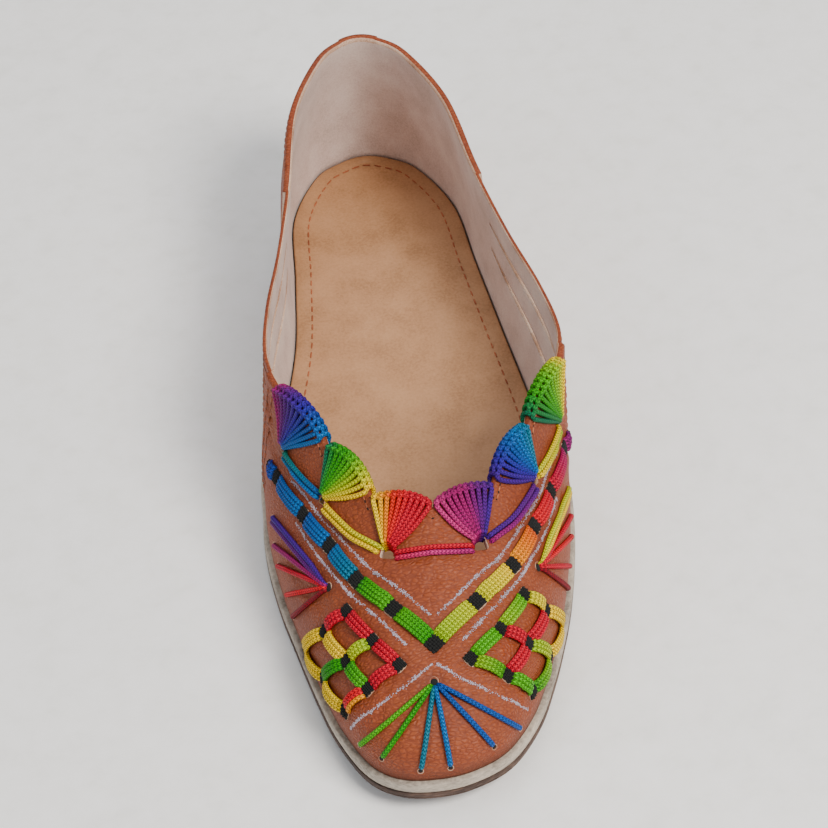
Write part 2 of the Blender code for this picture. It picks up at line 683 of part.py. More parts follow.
def build_star(name, origin, ends, material, width=CORD, steps=5):
    """Cords that spread from one hole: a hub and a strip for each cord."""
    start, out = on_skin(skin(*origin))
    side = unit(np.cross(out, [0.0, 1.0, 0.0]))
    front = np.cross(out, side)
    tips = [on_skin(skin(*end))[0] for end in ends]

    def bearing(tip):
        v = tip - start
        return math.atan2(float(np.dot(v, side)), -float(np.dot(v, front)))

    angles = [bearing(tip) for tip in tips]
    swing = [math.atan2(math.sin(a - angles[len(angles) // 2]), math.cos(a - angles[len(angles) // 2])) for a in angles]
    order = sorted(range(len(tips)), key=lambda i: swing[i])
    tips, swing = [tips[i] for i in order], [swing[i] for i in order]
    headings = [unit(tip - start) for tip in tips]
    sites, faces = [], []

    def put(point, height):
        spot, up = on_skin(point)
        sites.append((spot, up, height))
        return len(sites) - 1

    def turned(i, sign):
        return np.cross(headings[i], out) * sign

    probe = float(np.dot(turned(0, 1), headings[1] - headings[0]))
    toward = 1 if probe > 0 else -1
    hub = put(start, 1.1 * CORD)
    first = put(start + turned(0, -toward) * width / 2, CORD)
    last = put(start + turned(len(tips) - 1, toward) * width / 2, CORD)
    notches, radii = [], []
    for i in range(len(tips) - 1):
        gap = abs(swing[i + 1] - swing[i])
        radius = width / 2 / math.sin(gap / 2) * 1.02
        radii.append(radius)
        notches.append(put(start + unit(headings[i] + headings[i + 1]) * radius, CORD))
    rim = [first] + notches + [last]
    for i, tip in enumerate(tips):
        faces.append((hub, rim[i], rim[i + 1]))
        near = [radii[k] for k in (i - 1, i) if 0 <= k < len(radii)]
        begin = max(near) * 1.12
        length = float(np.linalg.norm(tip - start))
        before = (rim[i], rim[i + 1])
        for k in range(steps + 1):
            r = begin + (length - begin) * k / steps
            point = under_view(start + (tip - start) * r / length)
            low = put(point + turned(i, -toward) * width / 2, CORD * (0.6 if k == steps else 1))
            high = put(point + turned(i, toward) * width / 2, CORD * (0.6 if k == steps else 1))
            faces.append((before[0], low, high, before[1]))
            before = (low, high)
    plate(name, sites, faces, material)


def build_link(name, places, clear_start, clear_end, material):
    """A double cord that runs over the leather from one hole to the next."""
    line, gone = course(places, 8)
    lines = []
    for k in range(7):
        where = clear_start + (gone[-1] - clear_start - clear_end) * k / 6
        point, heading = at(line, gone, where)
        height = CORD * (0.6 if k in (0, 6) else 1.0)
        lines.append(crosswise(point, heading, 2 * CORD, height, 4, edge=0.6))
    strip(name, lines, material)


def build_decoration():
    build_fans()
    build_band()
    for side, sign in (("inner", -1), ("outer", 1)):

        def on(places):
            return [(sign * u, t) for u, t in places]

        build_lattice(side, sign, YELLOW_CORD)
        build_star(f"side_fan_{side}", on([SIDE_ORIGIN])[0], on(SIDE_ENDS), PURPLE_CORD)
        build_link(f"link_front_{side}", on(LINK_FRONT), 1.9 * MM, 2.6 * MM, YELLOW_CORD)
        build_link(f"link_rear_{side}", on(LINK_REAR), 1.9 * MM, 2.0 * MM, BLUE_CORD)
    build_link("link_middle", ((-LINK_MIDDLE[0], LINK_MIDDLE[1]), LINK_MIDDLE), 2.4 * MM, 2.4 * MM, RED_CORD)
    build_star("toe_fan", TOE_ORIGIN, TOE_ENDS, GREEN_CORD, steps=7)


build_sole()
build_upper()
build_decoration()
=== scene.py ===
"""Looks of an embroidered leather slip-on flat, left shoe: toe towards -Y, inner side towards -X."""

import logging
import math
from collections.abc import Callable
from dataclasses import dataclass, field
from enum import Enum, IntEnum

import bpy
import numpy as np
from mathutils import Matrix, Vector
from mathutils.bvhtree import BVHTree


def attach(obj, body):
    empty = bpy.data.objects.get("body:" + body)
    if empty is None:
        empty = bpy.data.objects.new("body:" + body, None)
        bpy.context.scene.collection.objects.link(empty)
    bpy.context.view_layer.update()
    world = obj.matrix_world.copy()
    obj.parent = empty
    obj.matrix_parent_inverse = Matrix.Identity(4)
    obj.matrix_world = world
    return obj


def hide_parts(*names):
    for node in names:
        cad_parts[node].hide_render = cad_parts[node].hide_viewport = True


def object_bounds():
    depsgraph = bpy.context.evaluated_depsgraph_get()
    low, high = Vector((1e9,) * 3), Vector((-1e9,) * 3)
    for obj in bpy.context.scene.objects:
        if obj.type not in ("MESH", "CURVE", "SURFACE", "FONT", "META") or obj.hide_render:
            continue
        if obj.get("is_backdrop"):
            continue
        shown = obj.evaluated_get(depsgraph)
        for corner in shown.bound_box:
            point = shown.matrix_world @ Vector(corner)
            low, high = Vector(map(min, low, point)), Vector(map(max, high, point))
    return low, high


LOG = logging.getLogger("embroidered_flat")
MM = 0.001
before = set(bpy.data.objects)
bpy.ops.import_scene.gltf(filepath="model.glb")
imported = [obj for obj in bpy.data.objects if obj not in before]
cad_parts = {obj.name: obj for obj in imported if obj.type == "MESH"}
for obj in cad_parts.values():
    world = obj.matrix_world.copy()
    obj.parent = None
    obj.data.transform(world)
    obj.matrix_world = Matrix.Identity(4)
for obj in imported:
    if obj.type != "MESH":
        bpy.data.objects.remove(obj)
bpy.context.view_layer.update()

VIEW_ELEVATION = 50.0

# node types that come often
MATH = "ShaderNodeMath"
VECTOR_MATH = "ShaderNodeVectorMath"
MAP_RANGE = "ShaderNodeMapRange"
NOISE = "ShaderNodeTexNoise"
MAPPING = "ShaderNodeMapping"
NAMED = "GeometryNodeInputNamedAttribute"

Place = tuple[float, float]
Piece = bpy.types.Object
Material = bpy.types.Material
Tree = bpy.types.NodeTree


# Small helpers.


def linear(code: str) -> tuple[float, float, float]:
    """Turns an sRGB hex colour into linear red, green and blue.

    Args:
        code: six hex digits.

    Returns:
        Three linear values.
    """
    parts = [int(code[i : i + 2], 16) / 255 for i in (0, 2, 4)]
    return tuple(p / 12.92 if p <= 0.04045 else ((p + 0.055) / 1.055) ** 2.4 for p in parts)


def ease(t: np.ndarray) -> np.ndarray:
    """Smooth step from 0 to 1."""
    t = np.clip(t, 0, 1)
    return t * t * (3 - 2 * t)


def unit(v: np.ndarray) -> np.ndarray:
    """Scales a vector, or each row of vectors, to length one."""
    return v / np.maximum(np.linalg.norm(v, axis=-1, keepdims=True), 1e-12)


def laid_flat(v: np.ndarray, out: np.ndarray) -> np.ndarray:
    """Unit direction of v in the plane across out."""
    return unit(v - out * float(v @ out))


def blend_dyes(stops: tuple[str, ...], share: float) -> np.ndarray:
    """Reads a run of dyes between its ends.

    Args:
        stops: hex colours, evenly spaced.
        share: 0 at the first, 1 at the last.

    Returns:
        The linear colour there.
    """
    table = np.array([linear(s) for s in stops])
    where = np.linspace(0, 1, len(table))
    return np.array([np.interp(share, where, table[:, i]) for i in range(3)])


def put(name: str, data: bpy.types.ID) -> Piece:
    """Makes an object of some data and links it to the scene.

    Args:
        name: the object's name.
        data: its mesh, lamp or camera.

    Returns:
        The object.
    """
    ob = bpy.data.objects.new(name, data)
    bpy.context.scene.collection.objects.link(ob)
    return ob


def plain_mesh(
    name: str, points: np.ndarray, faces: list, materials: list, picks: list | None = None,
) -> Piece:
    """Makes an object from points and faces.

    Args:
        name: the object's name.
        points: rows of x, y, z in metres.
        faces: tuples of point numbers.
        materials: the finishes' materials.
        picks: the material number of each face.

    Returns:
        The new object, smooth shaded.
    """
    mesh = bpy.data.meshes.new(name)
    mesh.from_pydata([tuple(map(float, p)) for p in points], [], faces)
    for material in materials:
        mesh.materials.append(material)
    if picks is not None:
        mesh.polygons.foreach_set("material_index", picks)
    mesh.polygons.foreach_set("use_smooth", [True] * len(mesh.polygons))
    mesh.update()
    return put(name, mesh)


def add(tree: Tree, kind: str, links: dict | None = None, **settings: object) -> bpy.types.Node:
    """Adds a node with its settings, values and links.

    Args:
        tree: the node tree.
        kind: the node's type name.
        links: socket name or number to a value, to another node's output or, for its first output, a node.
        settings: the node's own properties.

    Returns:
        The node.
    """
    node = tree.nodes.new(kind)
    for key, value in settings.items():
        setattr(node, key, value)
    for key, value in (links or {}).items():
        if isinstance(value, bpy.types.Node):
            value = value.outputs[0]
        if isinstance(value, bpy.types.NodeSocket):
            tree.links.new(value, node.inputs[key])
        else:
            node.inputs[key].default_value = value
    return node


def fold_back(tree: Tree, value: bpy.types.NodeSocket) -> bpy.types.NodeSocket:
    """Turns a rising value into a wave of straight flanks: 1 at whole numbers and 0 halfway between them.

    Args:
        tree: the node tree.
        value: the output to fold.

    Returns:
        The folded output.
    """
    part = add(tree, MATH, {0: value}, operation="FRACT")
    away = add(tree, MATH, {0: part, 1: 0.5}, operation="SUBTRACT")
    size = add(tree, MATH, {0: away}, operation="ABSOLUTE")
    return add(tree, MATH, {0: size, 1: 2.0}, operation="MULTIPLY").outputs[0]


# The shoe's form, the same rules and sizes as the solids.


@dataclass(frozen=True)
class Last:
    """The form that the upper stands on. A place on the leather is a fold, negative on the inner side, and
    the share of that fold from the sole's edge (0) to the opening (1)."""

    length: float = 246 * MM
    ball_width: float = 90 * MM
    instep: float = 46 * MM
    toe_spring: float = 5 * MM
    heel_lift: float = 5 * MM
    outsole: float = 2.8 * MM
    midsole: float = 3.2 * MM
    insole: float = 1.6 * MM
    joint: float = 0.3 * MM
    wall: float = 2.3 * MM
    strip_wall: float = 1.3 * MM
    rim: float = 1.5 * MM
    heel_breast: float = 0.70
    wing_end: float = 9.55
    counter_from: float = 12.9
    slits: tuple = ((0.43, 0.49), (0.71, 0.77))
    slit_folds: Place = (10.0, 12.5)
    scallops: tuple = ((0.0, 4.0, 2.4), (4.0, 6.5, 3.6), (6.5, 9.0, 4.6))
    middle_line: tuple = ((0.0, -0.042), (0.1, -0.024), (0.25, 0.036), (0.4, 0.05), (0.6, 0.035), (1.0, 0.0))
    # foot_y foot_in foot_out edge_y edge_x edge_z puff rise reach drop
    folds: tuple = (
        (0.000, 0.000, 0.000, 0.252, 0.000, 1.000, 0.030, 0.56, 0.290, 0.44),
        (0.006, 0.100, 0.106, 0.254, 0.045, 0.998, 0.030, 0.56, 0.285, 0.44),
        (0.030, 0.182, 0.214, 0.258, 0.089, 0.994, 0.030, 0.55, 0.265, 0.42),
        (0.080, 0.256, 0.300, 0.265, 0.135, 0.985, 0.030, 0.53, 0.225, 0.38),
        (0.135, 0.318, 0.345, 0.276, 0.181, 0.980, 0.028, 0.50, 0.180, 0.34),
        (0.200, 0.390, 0.374, 0.304, 0.231, 0.990, 0.026, 0.46, 0.135, 0.31),
        (0.260, 0.448, 0.396, 0.335, 0.280, 1.005, 0.024, 0.43, 0.095, 0.29),
        (0.315, 0.482, 0.416, 0.368, 0.333, 1.020, 0.022, 0.42, 0.060, 0.29),
        (0.365, 0.498, 0.430, 0.404, 0.389, 1.035, 0.022, 0.42, 0.030, 0.30),
        (0.410, 0.496, 0.436, 0.439, 0.437, 1.050, 0.022, 0.42, 0.010, 0.32),
        (0.470, 0.488, 0.430, 0.494, 0.468, 1.050, 0.022, 0.42, 0.004, 0.32),
        (0.560, 0.430, 0.408, 0.569, 0.442, 1.055, 0.022, 0.42, 0.004, 0.32),
        (0.660, 0.366, 0.370, 0.659, 0.380, 1.080, 0.020, 0.42, 0.006, 0.32),
        (0.770, 0.334, 0.332, 0.764, 0.318, 1.140, 0.020, 0.40, 0.010, 0.32),
        (0.880, 0.306, 0.300, 0.872, 0.262, 1.250, 0.022, 0.38, 0.022, 0.34),
        (0.960, 0.204, 0.200, 0.944, 0.158, 1.340, 0.026, 0.36, 0.034, 0.34),
        (0.990, 0.097, 0.097, 0.970, 0.075, 1.370, 0.028, 0.35, 0.040, 0.34),
        (1.000, 0.000, 0.000, 0.978, 0.000, 1.380, 0.028, 0.35, 0.040, 0.34),
    )

    @property
    def heel_fold(self) -> int:
        """Number of the fold at the back of the heel."""
        return len(self.folds) - 1

    @property
    def origin(self) -> np.ndarray:
        """The frame's origin, measured from the toe."""
        return np.array([0.01956 * self.ball_width, 0.5 * self.length, 0.0])

    def column(self, number: int, s: np.ndarray, odd: bool = False) -> np.ndarray:
        """Reads a column of the folds between its rows, reflected past both ends.

        Args:
            number: the column.
            s: fold numbers, zero or more.
            odd: True where the reflection changes sign.

        Returns:
            The values at s.
        """
        v = np.array([row[number] for row in self.folds])
        sign = -1.0 if odd else 1.0
        v = np.concatenate([sign * v[3:0:-1], v, sign * v[-2:-5:-1]])
        s = np.asarray(s, float) + 3
        i = np.clip(np.floor(s).astype(int), 1, len(v) - 3)
        f = s - i
        a, b, c, d = v[i - 1], v[i], v[i + 1], v[i + 2]
        return b + 0.5 * f * (c - a + f * (2 * a - 5 * b + 4 * c - d + f * (3 * (b - c) + d - a)))

    def middle(self, y: np.ndarray) -> np.ndarray:
        """Offset of the shoe's middle line at a distance y from the toe.

        Args:
            y: distances from the toe.

        Returns:
            The offsets, across the shoe.
        """
        table = np.array(self.middle_line)
        x, v = table[:, 0], table[:, 1]
        slope = np.gradient(v, x)
        share = np.clip(np.asarray(y, float) / self.length, 0, 1)
        i = np.clip(np.searchsorted(x, share) - 1, 0, len(x) - 2)
        h = x[i + 1] - x[i]
        t = (share - x[i]) / h
        value = (2 * t**3 - 3 * t**2 + 1) * v[i] + (t**3 - 2 * t**2 + t) * h * slope[i]
        value += (3 * t**2 - 2 * t**3) * v[i + 1] + (t**3 - t**2) * h * slope[i + 1]
        return self.ball_width * value

    def bed(self, y: np.ndarray) -> np.ndarray:
        """Height of the midsole's top at a distance y from the toe.

        Args:
            y: distances from the toe.

        Returns:
            The heights.
        """
        share = np.asarray(y, float) / self.length
        spring = self.toe_spring * np.clip((0.25 - share) / 0.25, 0, 1) ** 2
        return self.outsole + self.midsole + spring + self.heel_lift * ease((share - 0.46) / 0.34)

    def tread(self, y: float) -> float:
        """Height of the outsole's underside.

        Args:
            y: distance from the toe.

        Returns:
            The height.
        """
        if y / self.length > self.heel_breast:
            return 0.0
        return float(self.bed(y)) - self.outsole - self.midsole

    def feather(self, u: np.ndarray) -> tuple[np.ndarray, ...]:
        """Point of the sole's edge in plan and its outward direction, from the toe, unshifted.

        Args:
            u: folds, negative on the inner side.

        Returns:
            The points' x and y and the directions' x and y.
        """
        u = np.asarray(u, float)
        side, s = np.where(u < 0, -1.0, 1.0), np.abs(u)

        def plan(s: np.ndarray) -> tuple[np.ndarray, np.ndarray]:
            """One side's outline, running on round the other side past either end.

            Args:
                s: fold numbers.

            Returns:
                The points' x and y.
            """
            inner, outer = self.column(1, s, True), self.column(2, s, True)
            near, far = np.where(side < 0, inner, outer), np.where(side < 0, outer, inner)
            across = np.where((s < 0) | (s > self.heel_fold), far, near)
            y = self.length * self.column(0, s)
            return side * self.ball_width * across + self.middle(y), y

        x, y = plan(s)
        x1, y1 = plan(s + 0.02)
        x0, y0 = plan(s - 0.02)
        gx, gy = x1 - x0, y1 - y0
        n = np.hypot(gx, gy)
        return x, y, side * gy / n, -side * gx / n

    def skin(self, u: np.ndarray, t: np.ndarray) -> np.ndarray:
        """Outer face of the upper in the shared frame.

        Args:
            u: folds, negative on the inner side.
            t: shares of the folds.

        Returns:
            Rows of points.
        """
        u, t = np.broadcast_arrays(np.asarray(u, float), np.asarray(t, float))
        s = np.abs(u)
        side = np.where(u < 0, -1.0, 1.0)
        fx, fy, ox, oy = self.feather(u)
        fz = self.bed(fy) + self.joint
        cy = self.length * self.column(3, s)
        cx = side * self.ball_width * self.column(4, s, True) + self.middle(cy)
        cz = self.instep * self.column(5, s)
        height = cz - fz
        puff, reach = self.ball_width * self.column(6, s), self.ball_width * self.column(8, s)
        rise, drop = height * self.column(7, s), height * self.column(9, s)
        dx, dy = fx - cx, fy - cy
        d = np.hypot(dx, dy) + 1e-9
        along = np.clip(d / (0.10 * self.ball_width), 0, 1)
        ux, uy = along * dx / d + (1 - along) * ox, along * dy / d + (1 - along) * oy
        n = np.hypot(ux, uy)
        p0 = np.stack([fx, fy, fz], -1)
        p1 = np.stack([fx + ox * puff, fy + oy * puff, fz + rise], -1)
        p2 = np.stack([cx + ux / n * reach, cy + uy / n * reach, cz - drop], -1)
        p3 = np.stack([cx, cy, cz], -1)
        k = t[..., None]
        point = (1 - k) ** 3 * p0 + 3 * (1 - k) ** 2 * k * p1 + 3 * (1 - k) * k * k * p2 + k**3 * p3
        return point - self.origin

    def normal(self, u: np.ndarray, t: np.ndarray) -> np.ndarray:
        """Unit outward directions of the skin.

        Args:
            u: folds, negative on the inner side.
            t: shares of the folds.

        Returns:
            Rows of directions.
        """
        u, t = np.broadcast_arrays(np.asarray(u, float), np.asarray(t, float))
        du = self.skin(u + 0.01, t) - self.skin(u - 0.01, t)
        dt = self.skin(u, t + 0.004) - self.skin(u, t - 0.004)
        n = unit(np.cross(dt, du))
        inside = np.stack(
            [0 * u, self.length * (0.2 + 0.6 * np.abs(u) / self.heel_fold), 0 * u], -1,
        ) - self.origin
        flip = np.sign(np.sum(n * (self.skin(u, t) - inside), -1, keepdims=True))
        return n * np.where(flip == 0, 1, flip)

    def girth(self, u: float) -> float:
        """Length of a fold from the sole's edge to the opening."""
        line = self.skin(np.full(24, u), np.linspace(0, 1, 24))
        return float(np.linalg.norm(np.diff(line, axis=0), axis=1).sum())

    def rim_share(self, u: float) -> float:
        """Share of the fold at which the scalloped edge lies.

        Args:
            u: the fold.

        Returns:
            The share, one or more.
        """
        s = abs(u)
        for start, end, depth in self.scallops:
            if start < s < end:
                swell = math.sin(math.pi * (s - start) / (end - start)) ** 0.75
                return 1 + depth * MM * swell / self.girth(u)
        return 1.0

    def even_folds(self, first: float, last: float, pitch: float, t: float = 0.35) -> np.ndarray:
        """Folds spaced evenly along the leather.

        Args:
            first: first fold.
            last: last fold.
            pitch: distance between them in metres.
            t: the share at which the distance is taken.

        Returns:
            The folds, ends included.
        """
        u = np.linspace(first, last, 600)
        gone = np.concatenate([[0], np.cumsum(np.linalg.norm(np.diff(self.skin(u, t), axis=0), axis=1))])
        count = max(2, int(round(gone[-1] / pitch)) + 1)
        return np.interp(np.linspace(0, gone[-1], count), gone, u)


LAST = Last()


class Skin:
    """A fine copy of the leather's outer face, on which everything sewn to it is laid."""

    reach = 9.6
    fold_pitch = 0.1
    share_pitch = 0.02

    def __init__(self, last: Last, relief: Callable) -> None:
        """Lays out the fine copy.

        Args:
            last: the form.
            relief: function of folds, shares and points that gives the leather's own relief in metres.
        """
        self.last = last
        us = np.arange(-self.reach, self.reach + 0.5 * self.fold_pitch, self.fold_pitch)
        ts = np.arange(-self.share_pitch, 1.11, self.share_pitch)
        uu, tt = np.meshgrid(us, ts, indexing="ij")
        out = last.normal(uu, tt)
        points = last.skin(uu, tt)
        points = points + out * relief(uu, tt, points)[..., None]
        m = len(ts)
        self.faces = [
            (a * m + b, (a + 1) * m + b, (a + 1) * m + b + 1, a * m + b + 1)
            for a in range(len(us) - 1)
            for b in range(m - 1)
        ]
        self.points, self.out = points.reshape(-1, 3), out.reshape(-1, 3)
        self.tree = BVHTree.FromPolygons([tuple(p) for p in self.points], self.faces)

    def drop(self, point: np.ndarray) -> tuple[np.ndarray, np.ndarray]:
        """The nearest point of the leather and its outward direction.

        Args:
            point: any point near the leather.

        Returns:
            The point on the leather and its direction.
        """
        place, _, face, _ = self.tree.find_nearest(Vector(point))
        corners = list(self.faces[face])
        place = np.array(place)
        near = 1 / (np.linalg.norm(self.points[corners] - place, axis=1) + 1e-6)
        return place, unit((self.out[corners] * near[:, None]).sum(0))

    def under_view(self, point: np.ndarray) -> np.ndarray:
        """The leather's point along the slope that faces the vamp.

        Args:
            point: a point near the vamp.

        Returns:
            The point on the leather.
        """
        slope = math.radians(VIEW_ELEVATION)
        view = Vector((0.0, -math.cos(slope), math.sin(slope)))
        hit = self.tree.ray_cast(Vector(point) + view * 0.5 * self.last.length, -view)[0]
        return np.array(hit) if hit is not None else np.array(point)

    def course(self, places: list[Place], pitch: float = 1.0 * MM) -> np.ndarray:
        """Points on the leather along straight runs between places.

        Args:
            places: folds and shares.
            pitch: distance between the points.

        Returns:
            Rows of points.
        """
        knots = [self.last.skin(u, t) for u, t in places]
        line = []
        for a, b in zip(knots, knots[1:]):
            steps = max(2, int(np.linalg.norm(b - a) / pitch))
            line += [self.drop(a + (b - a) * k / steps)[0] for k in range(steps)]
        line.append(self.drop(knots[-1])[0])
        return np.array(line)


def distances(line: np.ndarray) -> np.ndarray:
    """Distance along a line at each of its points."""
    return np.concatenate([[0], np.cumsum(np.linalg.norm(np.diff(line, axis=0), axis=1))])


def read_line(line: np.ndarray, where: np.ndarray) -> np.ndarray:
    """Points of a line at distances along it."""
    gone = distances(line)
    return np.stack([np.interp(where, gone, line[:, i]) for i in range(3)], -1)


# Finishes.


@dataclass(frozen=True)
class Finish:
    """A material: common name, base colour and the plain values of its shader."""

    name: str
    colour: str
    roughness: float
    sheen: float = 0.0
    sheen_spread: float = 0.4
    metallic: float = 0.0
    specular: float = 0.5

    def start(self) -> tuple:
        """Makes the material with its uniform values set on the shader's own sockets.

        Returns:
            The material, its tree and its shader.
        """
        material = bpy.data.materials.new(self.name)
        material.use_nodes = True
        shader = material.node_tree.nodes["Principled BSDF"]
        plain = {
            "Base Color": (*linear(self.colour), 1), "Roughness": self.roughness, "Sheen Weight": self.sheen,
            "Sheen Roughness": self.sheen_spread, "Metallic": self.metallic,
            "Specular IOR Level": self.specular,
        }
        for socket, value in plain.items():
            shader.inputs[socket].default_value = value
        return material, material.node_tree, shader

    def build(self) -> Material:
        """Makes the material."""
        return self.start()[0]

    @staticmethod
    def ramp(tree: Tree, factor: bpy.types.NodeSocket, stops: tuple) -> bpy.types.NodeSocket:
        """Colours read by a factor.

        Args:
            tree: the node tree.
            factor: the output to read.
            stops: pairs of position and hex colour.

        Returns:
            The colour output.
        """
        node = add(tree, "ShaderNodeValToRGB", {"Fac": factor})
        while len(node.color_ramp.elements) < len(stops):
            node.color_ramp.elements.new(0.5)
        for element, (where, code) in zip(node.color_ramp.elements, stops):
            element.position, element.color = where, (*linear(code), 1)
        return node.outputs["Color"]


@dataclass(frozen=True)
class GrainLeather(Finish):
    """Milled full-grain cowhide, drum dyed tan: fine pebbles about a millimetre wide and short wrinkles
    drawn out across the shoe, with painted shade in the valleys and a painted highlight on the crowns, and a low
    shine."""

    name: str = "tan_grain_leather"
    colour: str = "91431B"
    crown: str = "A65627"
    valley: str = "743012"
    shade_tone: str = "58240D"
    roughness: float = 0.5
    specular: float = 0.4
    pebble: float = 1.1 * MM
    fold: float = 3.4 * MM
    depth: float = 0.5 * MM

    def build(self) -> Material:
        """Makes the leather with its pebbles, fine wrinkles and cloudy dye.

        Returns:
            The material.
        """
        material, tree, shader = self.start()
        place = add(tree, "ShaderNodeTexCoord").outputs["Object"]
        warp = add(tree, NOISE, {"Vector": place, "Scale": 260.0, "Detail": 2.0})
        shift = add(tree, VECTOR_MATH, {0: warp.outputs["Color"], 1: (0.0009,) * 3}, operation="MULTIPLY")
        bent = add(tree, VECTOR_MATH, {0: place, 1: shift}, operation="ADD")
        drawn = add(tree, MAPPING, {"Vector": bent, "Scale": (0.62, 1.15, 1.15)})
        size = 1 / self.pebble
        cells = add(
            tree, "ShaderNodeTexVoronoi", {"Vector": drawn, "Scale": size, "Randomness": 1.0},
            feature="DISTANCE_TO_EDGE",
        )
        crown = add(
            tree, MAP_RANGE, {"Value": cells.outputs["Distance"], "From Min": 0.0, "From Max": 0.42},
            interpolation_type="SMOOTHSTEP",
        )
        # short wrinkles, four times as long as they are wide
        streaks = add(tree, MAPPING, {"Vector": bent, "Scale": (0.35, 1.4, 1.4)})
        fine = add(tree, NOISE, {"Vector": streaks, "Scale": 1.5 * size, "Detail": 3.0})
        cloud = add(tree, NOISE, {"Vector": place, "Scale": 38.0, "Detail": 3.0})
        # patches where the grain is tight and patches where milling opened it
        patches = add(
            tree, MAP_RANGE,
            {"Value": cloud.outputs["Fac"], "From Min": 0.35, "From Max": 0.62, "To Min": 0.2, "To Max": 0.5},
        )
        height = add(tree, MATH, {0: crown, 1: patches}, operation="MULTIPLY")
        total = add(tree, MATH, {0: fine.outputs["Fac"], 1: 0.35, 2: height}, operation="MULTIPLY_ADD")
        # broad shallow folds across the shoe, where the hide crumples
        wide = add(tree, MAPPING, {"Vector": place, "Scale": (0.32, 1.25, 1.25)})
        folds = add(tree, NOISE, {"Vector": wide, "Scale": 1 / self.fold, "Detail": 2.0, "Distortion": 0.6})
        relief = add(tree, MATH, {0: folds.outputs["Fac"], 1: 1.1, 2: total}, operation="MULTIPLY_ADD")
        # painted shade and highlight: darker in the pebbles' valleys and lighter on their crowns, following the
        # grain's height
        tone = self.ramp(
            tree, total.outputs[0],
            ((0.12, self.valley), (0.34, self.colour), (0.60, self.colour), (0.85, self.crown)),
        )
        stain = self.ramp(tree, cloud.outputs["Fac"], ((0.30, "D9C3B8"), (0.52, "FFFFFF"), (0.75, "FFE9DA")))
        dyed = add(
            tree, "ShaderNodeMix", {0: 0.8, 6: tone, 7: stain}, data_type="RGBA", blend_type="MULTIPLY",
        )
        # painted shade from the attribute that Upper sets: darker near the sole and round the holes and cords
        wear = add(tree, "ShaderNodeAttribute", attribute_name="wear")
        edge = add(
            tree, "ShaderNodeMix", {0: wear.outputs["Fac"], 6: dyed.outputs[2], 7: (*linear(self.shade_tone), 1)},
            data_type="RGBA",
        )
        tree.links.new(edge.outputs[2], shader.inputs["Base Color"])
        gloss = add(tree, MAP_RANGE, {"Value": total, "From Max": 0.9, "To Min": 0.66, "To Max": 0.42})
        tree.links.new(gloss.outputs[0], shader.inputs["Roughness"])
        bump = add(tree, "ShaderNodeBump", {"Height": relief, "Distance": self.depth, "Strength": 0.9})
        tree.links.new(bump.outputs[0], shader.inputs["Normal"])
        return material


@dataclass(frozen=True)
class NappedFinish(Finish):
    """Split leather, raw cut edges and foam: a mottled face with a short nap or fine pores, never shiny."""

    light: str = "DCCBBF"
    dark: str = "A88F80"
    grain: float = 0.5 * MM
    depth: float = 0.10 * MM
    stretch: tuple[float, float, float] = (1.0, 1.0, 1.0)
    speck: float = 0.0

    def build(self) -> Material:
        """Makes the finish from two scales of noise and, where it has them, dark specks.

        Returns:
            The material.
        """
        material, tree, shader = self.start()
        place = add(tree, "ShaderNodeTexCoord").outputs["Object"]
        drawn = add(tree, MAPPING, {"Vector": place, "Scale": self.stretch}).outputs[0]
        fine = add(tree, NOISE, {"Vector": drawn, "Scale": 1 / self.grain, "Detail": 5.0, "Roughness": 0.65})
        broad = add(tree, NOISE, {"Vector": drawn, "Scale": 90.0, "Detail": 3.0})
        both = add(tree, MATH, {0: fine.outputs["Fac"], 1: broad.outputs["Fac"]}, operation="ADD")
        share = add(tree, MAP_RANGE, {"Value": both, "From Min": 0.6, "From Max": 1.4})
        tone = self.ramp(tree, share.outputs[0], ((0.15, self.dark), (0.48, self.colour), (0.80, self.light)))
        if self.speck:
            cells = add(
                tree, "ShaderNodeTexVoronoi", {"Vector": drawn, "Scale": 1 / (2.2 * self.grain)}, feature="F1"
            )
            near = add(
                tree, MAP_RANGE,
                {"Value": cells, "From Min": 0.08, "From Max": 0.3, "To Min": self.speck, "To Max": 0.0},
            )
            mixed = add(
                tree, "ShaderNodeMix", {0: near, 6: tone, 7: (*linear(self.dark), 1)}, data_type="RGBA",
            )
            tone = mixed.outputs[2]
        tree.links.new(tone, shader.inputs["Base Color"])
        bump = add(
            tree, "ShaderNodeBump", {"Height": fine.outputs["Fac"], "Distance": self.depth, "Strength": 0.8},
        )
        tree.links.new(bump.outputs[0], shader.inputs["Normal"])
        return material


